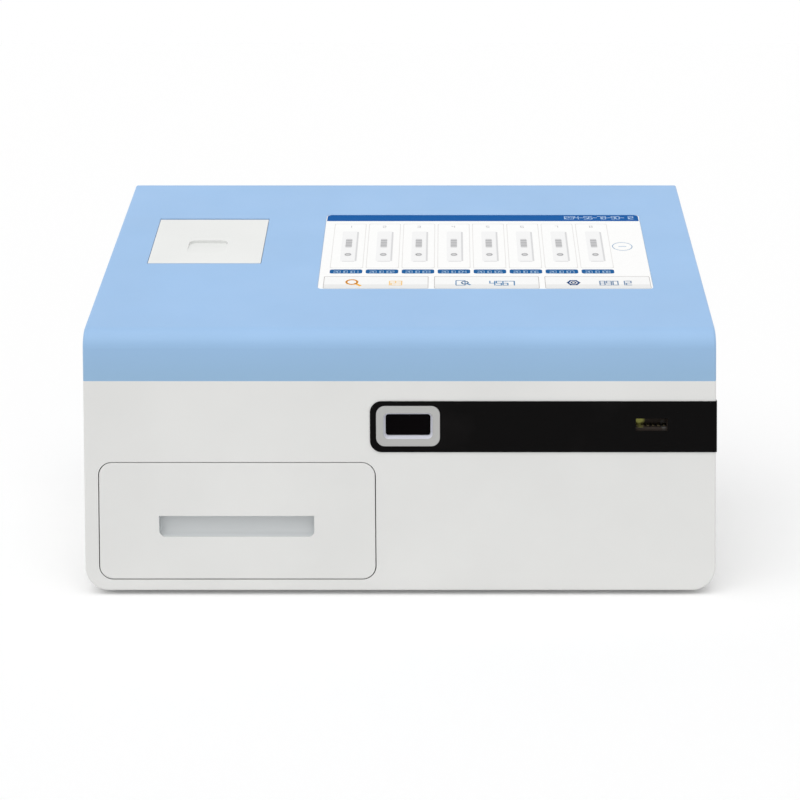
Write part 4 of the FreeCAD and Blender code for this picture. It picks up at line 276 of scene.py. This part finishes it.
def brushed(name, colour, roughness, along=(30, 1, 1), line=0.0003):
    """Metal with fine lines along one axis and a few dull patches."""
    material = new_material(name, colour, roughness, metallic=1.0)
    shader = shader_of(material)
    lines = noise_output(material, line, detail=3.0, stretch=along)
    dull = noise_output(material, 0.012, detail=4.0)
    streaked = mixed_output(material, ranged_output(material, lines, 0.0, 1.0),
                            scaled(colour, 0.86), scaled(colour, 1.06))
    worn = mixed_output(material, edge_output(material, 0.0004), streaked, scaled(colour, 1.18))
    link(material, worn, shader.inputs["Base Color"])
    link(material, ranged_output(material, dull, roughness * 0.8, roughness * 1.35),
         shader.inputs["Roughness"])
    add_bump(material, lines, 0.000006)
    return material


def circuit_board(name):
    """Green solder mask over a web of copper tracks, with tinned pads at the crossings."""
    mask = srgb(28, 92, 58)
    material = new_material(name, mask, 0.32)
    shader = shader_of(material)
    place = place_output(material)
    cells = add_node(material, "ShaderNodeTexVoronoi", feature="DISTANCE_TO_EDGE")
    cells.inputs["Scale"].default_value = 1 / 0.006
    link(material, place, cells.inputs["Vector"])
    tracks = ranged_output(material, cells.outputs["Distance"], 1.0, 0.0, start=0.03, end=0.06)
    tracked = mixed_output(material, tracks, mask, srgb(46, 128, 82))
    holes = add_node(material, "ShaderNodeTexVoronoi", feature="F1")
    holes.inputs["Scale"].default_value = 1 / 0.008
    link(material, place, holes.inputs["Vector"])
    pads = ranged_output(material, holes.outputs["Distance"], 1.0, 0.0, start=0.11, end=0.13)
    link(material, mixed_output(material, pads, tracked, srgb(196, 192, 178)),
         shader.inputs["Base Color"])
    link(material, ranged_output(material, pads, 0.32, 0.22, start=0.0, end=1.0),
         shader.inputs["Roughness"])
    add_bump(material, tracks, 0.00004)
    return material


def rubber(name):
    colour = srgb(34, 34, 35)
    material = new_material(name, colour, 0.82, specular=0.3)
    dust = noise_output(material, 0.004, detail=5.0)
    link(material, mixed_output(material, ranged_output(material, dust, 0.0, 1.0, start=0.5, end=0.8),
                                colour, srgb(62, 61, 60)),
         shader_of(material).inputs["Base Color"])
    link(material, ranged_output(material, dust, 0.74, 0.9), shader_of(material).inputs["Roughness"])
    add_bump(material, noise_output(material, 0.0005), 0.00002)
    return material


def wound_paper(name):
    """Thermal paper: faint fibres, and the edges of its turns as rings round the roll's own axis."""
    low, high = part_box("paper_roll")
    colour = srgb(242, 241, 236)
    material = new_material(name, colour, 0.62, specular=0.35)
    fibre = noise_output(material, 0.0011, detail=5.0)
    link(material, mixed_output(material, ranged_output(material, fibre, 0.0, 1.0),
                                colour, scaled(colour, 0.93)),
         shader_of(material).inputs["Base Color"])
    link(material, ranged_output(material, fibre, 0.56, 0.7), shader_of(material).inputs["Roughness"])
    rings = add_node(material, "ShaderNodeTexWave", wave_type="RINGS", rings_direction="X")
    rings.inputs["Scale"].default_value = 500
    rings.inputs["Distortion"].default_value = 0.4
    link(material, place_output(material, centre=(low + high) / 2), rings.inputs["Vector"])
    add_bump(material, rings.outputs["Fac"], 0.00006)
    return material


def clear_glass(name, tint):
    material = new_material(name, tint, 0.03)
    shader = shader_of(material)
    shader.inputs["Transmission Weight"].default_value = 0.9
    shader.inputs["IOR"].default_value = 1.5
    smudge = noise_output(material, 0.004, detail=4.0)
    link(material, ranged_output(material, smudge, 0.02, 0.09), shader.inputs["Roughness"])
    return material


def lit_picture(name, colour, glow=0.06, dots=0.02):
    """One colour of the lit picture: the liquid-crystal dots behind an anti-glare film."""
    material = new_material(name, colour, 0.34, specular=0.02)
    shader = shader_of(material)
    dot = noise_output(material, 0.0005, detail=0.0)
    share = 1 - glow
    speckled = mixed_output(material, ranged_output(material, dot, 0.0, 1.0),
                            scaled(colour, share - dots), scaled(colour, share + dots))
    link(material, speckled, shader.inputs["Base Color"])
    shader.inputs["Emission Color"].default_value = colour
    shader.inputs["Emission Strength"].default_value = glow
    film = noise_output(material, 0.0015, detail=3.0)
    link(material, ranged_output(material, film, 0.28, 0.42), shader.inputs["Roughness"])
    return material


def dress_nodes():
    """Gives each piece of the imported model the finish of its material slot."""
    finishes = {
        "housing_grey": moulded("housing_grey", srgb(226, 226, 224), 0.52),
        "cover_blue": cover_plastic("cover_blue"),
        "door_white": moulded("door_white", srgb(231, 232, 230), 0.44, depth=0.000008, specular=0.4),
        "gloss_black": glossy("gloss_black", srgb(8, 7, 7), 0.10, 0.05),
        "bezel_grey": bezel_plastic("bezel_grey"),
        "screen_glass": lit_picture("screen_glass", srgb(248, 248, 247)),
        "dark_plastic": moulded("dark_plastic", srgb(30, 29, 30), 0.50, specular=0.2),
        "white_plastic": moulded("white_plastic", srgb(236, 236, 233), 0.40, depth=0.000006),
        "inner_grey": moulded("inner_grey", srgb(158, 161, 163), 0.50),
        "board_green": circuit_board("board_green"),
        "sheet_steel": brushed("sheet_steel", srgb(186, 188, 190), 0.38),
        "bright_steel": brushed("bright_steel", srgb(205, 206, 208), 0.24, along=(1, 1, 12)),
        "warm_plate": brushed("warm_plate", srgb(198, 200, 203), 0.34, along=(1, 30, 1)),
        "contact_gold": brushed("contact_gold", srgb(216, 178, 98), 0.26),
        "roller_rubber": rubber("roller_rubber"),
        "paper": wound_paper("paper"),
        "lens_glass": clear_glass("lens_glass", srgb(214, 228, 240)),
        "magnet_black": moulded("magnet_black", srgb(44, 43, 42), 0.7, grain=0.0004, depth=0.00003),
    }
    # Painted shade: the flap inside the card inlet is made near black, standing in for the shade deep in
    # the inlet's hole.
    inlet_shade_black = moulded("inlet_shade_black", srgb(5, 3, 4), 0.60, specular=0.03)
    special = {
        "inlet_flap": inlet_shade_black,
        "drawer_front": drawer_plastic_painted_shade("drawer_plastic_painted_shade"),
        "chip_socket": socket_plastic("socket_plastic"),
        "chip_contacts": brushed("dull_contacts", srgb(112, 104, 80), 0.5),
    }
    slots = {part["node"]: part["material_slot"] for part in frame["record"]["subparts"]}
    for name, node in frame["nodes"].items():
        for slot in node.material_slots:
            slot.material = finishes[slots[name]]
    for name, material in special.items():
        for slot in frame["nodes"][name].material_slots:
            slot.material = material


# The picture on the display

def glass_corner():
    """The front left corner of the display glass's upper face, and the face's width and length."""
    low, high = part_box("display_glass")
    deep = high.y - low.y
    tall = high.z - low.z
    length = (deep * math.cos(SLOPE) - tall * math.sin(SLOPE)) / math.cos(2 * SLOPE)
    corner = Vector((low.x, low.y, high.z - length * math.sin(SLOPE)))
    return corner, high.x - low.x, length


CORNER, PAGE_WIDTH, PAGE_LENGTH = glass_corner()


def on_display(across, up, layer):
    """A point of the picture: across from the glass's left edge, up the slope from its front edge."""
    climb = Vector((0, math.cos(SLOPE), math.sin(SLOPE)))
    lift = Vector((0, -math.sin(SLOPE), math.cos(SLOPE)))
    return CORNER + Vector((across, 0, 0)) + climb * up + lift * (layer * LAYER)


def outline(left, right, bottom, top, radius=0.0, steps=6):
    """The corners of a rectangle, or of one with rounded corners, anticlockwise."""
    if radius == 0:
        return [(left, bottom), (right, bottom), (right, top), (left, top)]
    turns = [(right - radius, bottom + radius, -90), (right - radius, top - radius, 0),
             (left + radius, top - radius, 90), (left + radius, bottom + radius, 180)]
    points = []
    for across, up, start in turns:
        for step in range(steps + 1):
            angle = math.radians(start + 90 * step / steps)
            points.append((across + radius * math.cos(angle), up + radius * math.sin(angle)))
    return points


def ring_outline(across, up, radius, steps=40):
    return [(across + radius * math.cos(2 * math.pi * step / steps),
             up + radius * math.sin(2 * math.pi * step / steps)) for step in range(steps)]


class Picture:
    """Flat shapes of one colour, gathered into one thin piece on the display."""

    def __init__(self, name, colour, layer):
        self.name = name
        self.material = lit_picture(name, colour)
        self.layer = layer
        self.points = []
        self.faces = []

    def area(self, points):
        """A filled shape with a rim down to the layer below."""
        start = len(self.points)
        count = len(points)
        self.points += [on_display(across, up, self.layer) for across, up in points]
        self.points += [on_display(across, up, self.layer - 1) for across, up in points]
        self.faces.append(tuple(range(start, start + count)))
        for step in range(count):
            after = (step + 1) % count
            self.faces.append((start + after, start + step, start + count + step, start + count + after))

    def line(self, points, width, closed=True):
        """A line of the given width along the points, as a chain of short strips."""
        count = len(points)
        for step in range(count if closed else count - 1):
            first = Vector(points[step])
            second = Vector(points[(step + 1) % count])
            side = (second - first).orthogonal().normalized() * (width / 2)
            end = (second - first).normalized() * (width / 2)
            self.area([tuple(first - side - end), tuple(first + side - end),
                       tuple(second + side + end), tuple(second - side + end)][::-1])

    def digits(self, text, across, up, height, width_share=0.62):
        """Plain digits in bars, centred on the place."""
        step = height * width_share * 1.35
        place = across - step * (len(text) - 1) / 2
        for mark in text:
            self.digit(mark, place, up, height, height * width_share)
            place += step

    def digit(self, mark, across, up, height, width):
        """One digit from up to seven bars: top, sides, middle, foot."""
        bars = {
            "0": "abcdef", "1": "bc", "2": "abged", "3": "abgcd", "4": "fgbc", "5": "afgcd",
            "6": "afgedc", "7": "abc", "8": "abcdefg", "9": "abcdfg", "-": "g",
        }
        half = height / 2
        side = width / 2
        ends = {
            "a": ((-side, half), (side, half)), "b": ((side, half), (side, 0)),
            "c": ((side, 0), (side, -half)), "d": ((-side, -half), (side, -half)),
            "e": ((-side, 0), (-side, -half)), "f": ((-side, half), (-side, 0)),
            "g": ((-side, 0), (side, 0)),
        }
        for bar in bars[mark]:
            first, second = ends[bar]
            self.line([(across + first[0], up + first[1]), (across + second[0], up + second[1])],
                      height * 0.13, closed=False)

    def build(self):
        mesh = bpy.data.meshes.new(self.name)
        mesh.from_pydata([tuple(point) for point in self.points], [], self.faces)
        mesh.materials.append(self.material)
        piece = bpy.data.objects.new(self.name, mesh)
        bpy.context.scene.collection.objects.link(piece)
        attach(piece, "case")
        return piece


# Places on the display, in metres, across from its left edge and up the slope from its front edge.
PANEL_COUNT = 8
FIRST_LABEL = 2010101
PANEL_PITCH = 0.0241
PANEL_WIDTH = 0.0218
PANEL_LEFT = 0.0067
PANEL_BOTTOM = 0.0335
PANEL_TOP = 0.1083
CASSETTE_LEFT = 0.0060
CASSETTE_WIDTH = 0.0112
CASSETTE_BOTTOM = 0.0439
CASSETTE_TOP = 0.0950
TITLE_BOTTOM = 0.1134
LABEL_BOTTOM = 0.0245
LABEL_TOP = 0.0310
LABEL_NUMBER_RISE = 0.0026
PANEL_NUMBER_LEVEL = 0.1034
WINDOW_BOTTOM = 0.0674
WINDOW_TOP = 0.0820
WELL_ACROSS = 0.0050
WELL_LEVEL = 0.0556
CLOCK_ACROSS = 0.1915
CLOCK_LEVEL = 0.1193
RING_ACROSS = 0.2057
RING_LEVEL = 0.0692
RING_RADIUS = 0.0067
RING_BAR = 0.0023
GEAR_ACROSS = 0.1690
GEAR_LEVEL = 0.0098
KEY_NUMBER_HEIGHT = 0.0062
BUTTON_BOTTOM = 0.0010
BUTTON_TOP = 0.0196
BUTTONS = ((0.0036, 0.0727), (0.0769, 0.1461), (0.1503, 0.2198))
HAIRLINE = 0.0004


def draw_title():
    """The bar along the top of the picture, rounded at its upper corners, and a row of plain digits."""
    bar = Picture("display_title_bar", srgb(2, 88, 160), 1)
    radius = 0.0030
    inset = 0.0006
    shape = outline(inset, PAGE_WIDTH - inset, TITLE_BOTTOM, PAGE_LENGTH, radius)
    bar.area([(across, up if up > TITLE_BOTTOM + radius else TITLE_BOTTOM) for across, up in shape])
    bar.build()
    clock = Picture("display_clock", srgb(186, 210, 238), 2)
    clock.digits("1234-56-78-90-12", CLOCK_ACROSS, CLOCK_LEVEL, 0.0046, width_share=0.52)
    clock.build()


def draw_panels():
    """Eight places for test cards: a frame, a card with its window and well, and a numbered label."""
    lines = Picture("display_panel_lines", srgb(222, 220, 218), 1)
    cards = Picture("display_cards", srgb(241, 241, 241), 1)
    shades = Picture("display_card_shades", srgb(214, 214, 215), 2)
    windows = Picture("display_card_windows", srgb(206, 206, 207), 2)
    strips = Picture("display_card_strips", srgb(172, 172, 174), 3)
    marks = Picture("display_panel_numbers", srgb(186, 186, 188), 1)
    labels = Picture("display_labels", srgb(20, 92, 152), 1)
    tallies = Picture("display_label_numbers", srgb(168, 196, 222), 2)
    for number in range(PANEL_COUNT):
        left = PANEL_LEFT + PANEL_PITCH * number
        centre = left + CASSETTE_LEFT + CASSETTE_WIDTH * 0.42
        card_left = left + CASSETTE_LEFT
        card_right = card_left + CASSETTE_WIDTH
        lines.line(outline(left, left + PANEL_WIDTH, PANEL_BOTTOM, PANEL_TOP, 0.0012, 3), HAIRLINE)
        cards.area(outline(card_left, card_right, CASSETTE_BOTTOM, CASSETTE_TOP, 0.0014))
        shades.area(outline(card_right - 0.0012, card_right, CASSETTE_BOTTOM + 0.0012,
                            CASSETTE_TOP - 0.0012))
        shades.area(outline(card_left + 0.0014, card_right - 0.0014, CASSETTE_BOTTOM,
                            CASSETTE_BOTTOM + 0.0010))
        windows.area(outline(card_left + 0.0027, card_left + 0.0071, WINDOW_BOTTOM, WINDOW_TOP, 0.0008))
        windows.area(ring_outline(card_left + WELL_ACROSS, WELL_LEVEL, 0.0024, 24))
        for share in (0.20, 0.40, 0.60, 0.80):
            level = WINDOW_BOTTOM + share * (WINDOW_TOP - WINDOW_BOTTOM)
            strips.line([(card_left + 0.0034, level), (card_left + 0.0064, level)], 0.0014, closed=False)
        strips.line(ring_outline(card_left + WELL_ACROSS, WELL_LEVEL, 0.0017, 20), 0.0005)
        marks.digits(str(number + 1), centre, PANEL_NUMBER_LEVEL, 0.0030)
        labels.area(outline(left, left + PANEL_WIDTH, LABEL_BOTTOM, LABEL_TOP, 0.0016))
        tallies.digits(str(FIRST_LABEL + number), left + PANEL_WIDTH / 2, LABEL_BOTTOM + LABEL_NUMBER_RISE,
                       0.0034, width_share=0.52)
    for picture in (lines, cards, shades, windows, strips, marks, labels, tallies):
        picture.build()


def draw_ring():
    """The ring beside the last place, with a bar in it."""
    ring = Picture("display_ring", srgb(164, 190, 214), 1)
    ring.line(ring_outline(RING_ACROSS, RING_LEVEL, RING_RADIUS), 0.0006)
    ring.line([(RING_ACROSS - RING_BAR, RING_LEVEL), (RING_ACROSS + RING_BAR, RING_LEVEL)], 0.0008,
              closed=False)
    ring.build()


def draw_buttons():
    """Three keys along the foot of the picture, each with a shaded foot and a fine frame."""
    keys = Picture("display_keys", srgb(244, 244, 243), 1)
    shades = Picture("display_key_shades", srgb(232, 232, 231), 2)
    frames = Picture("display_key_frames", srgb(186, 182, 180), 3)
    for left, right in BUTTONS:
        keys.area(outline(left, right, BUTTON_BOTTOM, BUTTON_TOP, 0.0008))
        shades.area(outline(left + HAIRLINE, right - HAIRLINE, BUTTON_BOTTOM + HAIRLINE,
                            BUTTON_BOTTOM + 0.0062))
        frames.line(outline(left, right, BUTTON_BOTTOM, BUTTON_TOP, 0.0008, 3), HAIRLINE)
    for picture in (keys, shades, frames):
        picture.build()


def magnifier(picture, across, up, radius, width):
    """A ring with a short handle to the lower right."""
    picture.line(ring_outline(across, up, radius, 24), width)
    reach = radius * math.cos(math.radians(45))
    picture.line([(across + reach, up - reach), (across + 2.1 * reach, up - 2.1 * reach)], width * 1.5,
                 closed=False)


def draw_icons():
    """The signs on the three keys, and a plain number beside each."""
    orange = Picture("display_orange_sign", srgb(244, 178, 66), 4)
    magnifier(orange, 0.0222, 0.0108, 0.0036, 0.0013)
    orange.build()
    yellow = Picture("display_orange_numbers", srgb(248, 208, 140), 4)
    yellow.digits("123", 0.0497, 0.0092, KEY_NUMBER_HEIGHT, width_share=0.48)
    yellow.build()
    pale = Picture("display_blue_sign", srgb(92, 140, 184), 4)
    pale.line(outline(0.0912, 0.0972, 0.0058, 0.0132, 0.0006, 3), 0.0007)
    magnifier(pale, 0.0971, 0.0098, 0.0021, 0.0009)
    pale.digits("4567", 0.1217, 0.0090, 0.0064, width_share=0.50)
    pale.build()
    dark = Picture("display_gear_sign", srgb(18, 74, 132), 4)
    dark.line(ring_outline(GEAR_ACROSS, GEAR_LEVEL, 0.0037, 6), 0.0014)
    dark.line(ring_outline(GEAR_ACROSS, GEAR_LEVEL, 0.0014, 16), 0.0009)
    dark.build()
    plain = Picture("display_key_numbers", srgb(120, 146, 178), 4)
    plain.digits("89012", 0.1968, 0.0092, KEY_NUMBER_HEIGHT, width_share=0.52)
    plain.build()


def draw_display():
    draw_title()
    draw_panels()
    draw_ring()
    draw_buttons()
    draw_icons()


# The studio: sizes and places are in metres, and the sun's spread is in degrees.

SKY_LEVEL = 0.55
FLOOR_SIZE = 12
FLOOR_BRIGHTENING = 0.095
SUN_STRENGTH = 1.6
SUN_SPREAD = 70
SUN_TOWARD = (-0.15, -0.5, 1.0)
CAMERA_PLACE = (0.0299, -1.4105, 0.4275)
CAMERA_PITCH = math.radians(77.0)
CAMERA_LENS = 93.88
CAMERA_SHIFT = -0.0585


def camera_rays(tree):
    """1 for what the camera sees, straight on, in gloss or through glass, and 0 for all other light."""
    path = tree.nodes.new("ShaderNodeLightPath")
    either = path.outputs["Is Camera Ray"]
    for name in ("Is Glossy Ray", "Is Transmission Ray"):
        larger = tree.nodes.new("ShaderNodeMath")
        larger.operation = "MAXIMUM"
        tree.links.new(either, larger.inputs[0])
        tree.links.new(path.outputs[name], larger.inputs[1])
        either = larger.outputs["Value"]
    return either


def light_world(level):
    """An even sky of the level for the object, and plain white behind it for the camera."""
    world = bpy.data.worlds.new("studio")
    world.use_nodes = True
    tree = world.node_tree
    background = tree.nodes["Background"]
    background.inputs["Color"].default_value = (1, 1, 1, 1)
    strength = tree.nodes.new("ShaderNodeMapRange")
    strength.inputs["To Min"].default_value = level
    strength.inputs["To Max"].default_value = 1.0
    tree.links.new(camera_rays(tree), strength.inputs["Value"])
    tree.links.new(strength.outputs["Result"], background.inputs["Strength"])
    bpy.context.scene.world = world


def lay_floor(size, brightening):
    """A white floor that takes the object's shadow; what the camera sees of it is raised to white."""
    low, high = cad_box
    half = size / 2
    mesh = bpy.data.meshes.new("floor")
    corners = [(-half, -half, low.z), (half, -half, low.z), (half, half, low.z), (-half, half, low.z)]
    mesh.from_pydata(corners, [], [(0, 1, 2, 3)])
    floor = bpy.data.objects.new("floor", mesh)
    bpy.context.scene.collection.objects.link(floor)
    material = new_material("floor", srgb(243, 243, 243), 0.9, specular=0.1)
    tree = material.node_tree
    shader = shader_of(material)
    strength = tree.nodes.new("ShaderNodeMapRange")
    strength.inputs["To Min"].default_value = 0.0
    strength.inputs["To Max"].default_value = brightening
    tree.links.new(camera_rays(tree), strength.inputs["Value"])
    shader.inputs["Emission Color"].default_value = (1, 1, 1, 1)
    tree.links.new(strength.outputs["Result"], shader.inputs["Emission Strength"])
    mesh.materials.append(material)


def add_sun(name, strength, spread, toward):
    """Soft light of even strength from a wide patch of sky; toward is where that patch lies."""
    data = bpy.data.lights.new(name, "SUN")
    data.energy = strength
    data.angle = math.radians(spread)
    lamp = bpy.data.objects.new(name, data)
    lamp.rotation_euler = Vector(toward).to_track_quat("Z", "Y").to_euler()
    bpy.context.scene.collection.objects.link(lamp)


def set_camera():
    """The photograph's view: square to the front, a little to the right and 13 degrees above level."""
    data = bpy.data.cameras.new("camera")
    data.sensor_width = 36
    data.lens = CAMERA_LENS
    data.shift_x = CAMERA_SHIFT
    camera = bpy.data.objects.new("camera", data)
    camera.location = CAMERA_PLACE
    camera.rotation_euler = (CAMERA_PITCH, 0, 0)
    bpy.context.scene.collection.objects.link(camera)
    bpy.context.scene.camera = camera


dress_nodes()
draw_display()
light_world(SKY_LEVEL)
lay_floor(FLOOR_SIZE, FLOOR_BRIGHTENING)
add_sun("softbox", SUN_STRENGTH, SUN_SPREAD, SUN_TOWARD)
set_camera()
bpy.context.scene.view_settings.view_transform = "Standard"
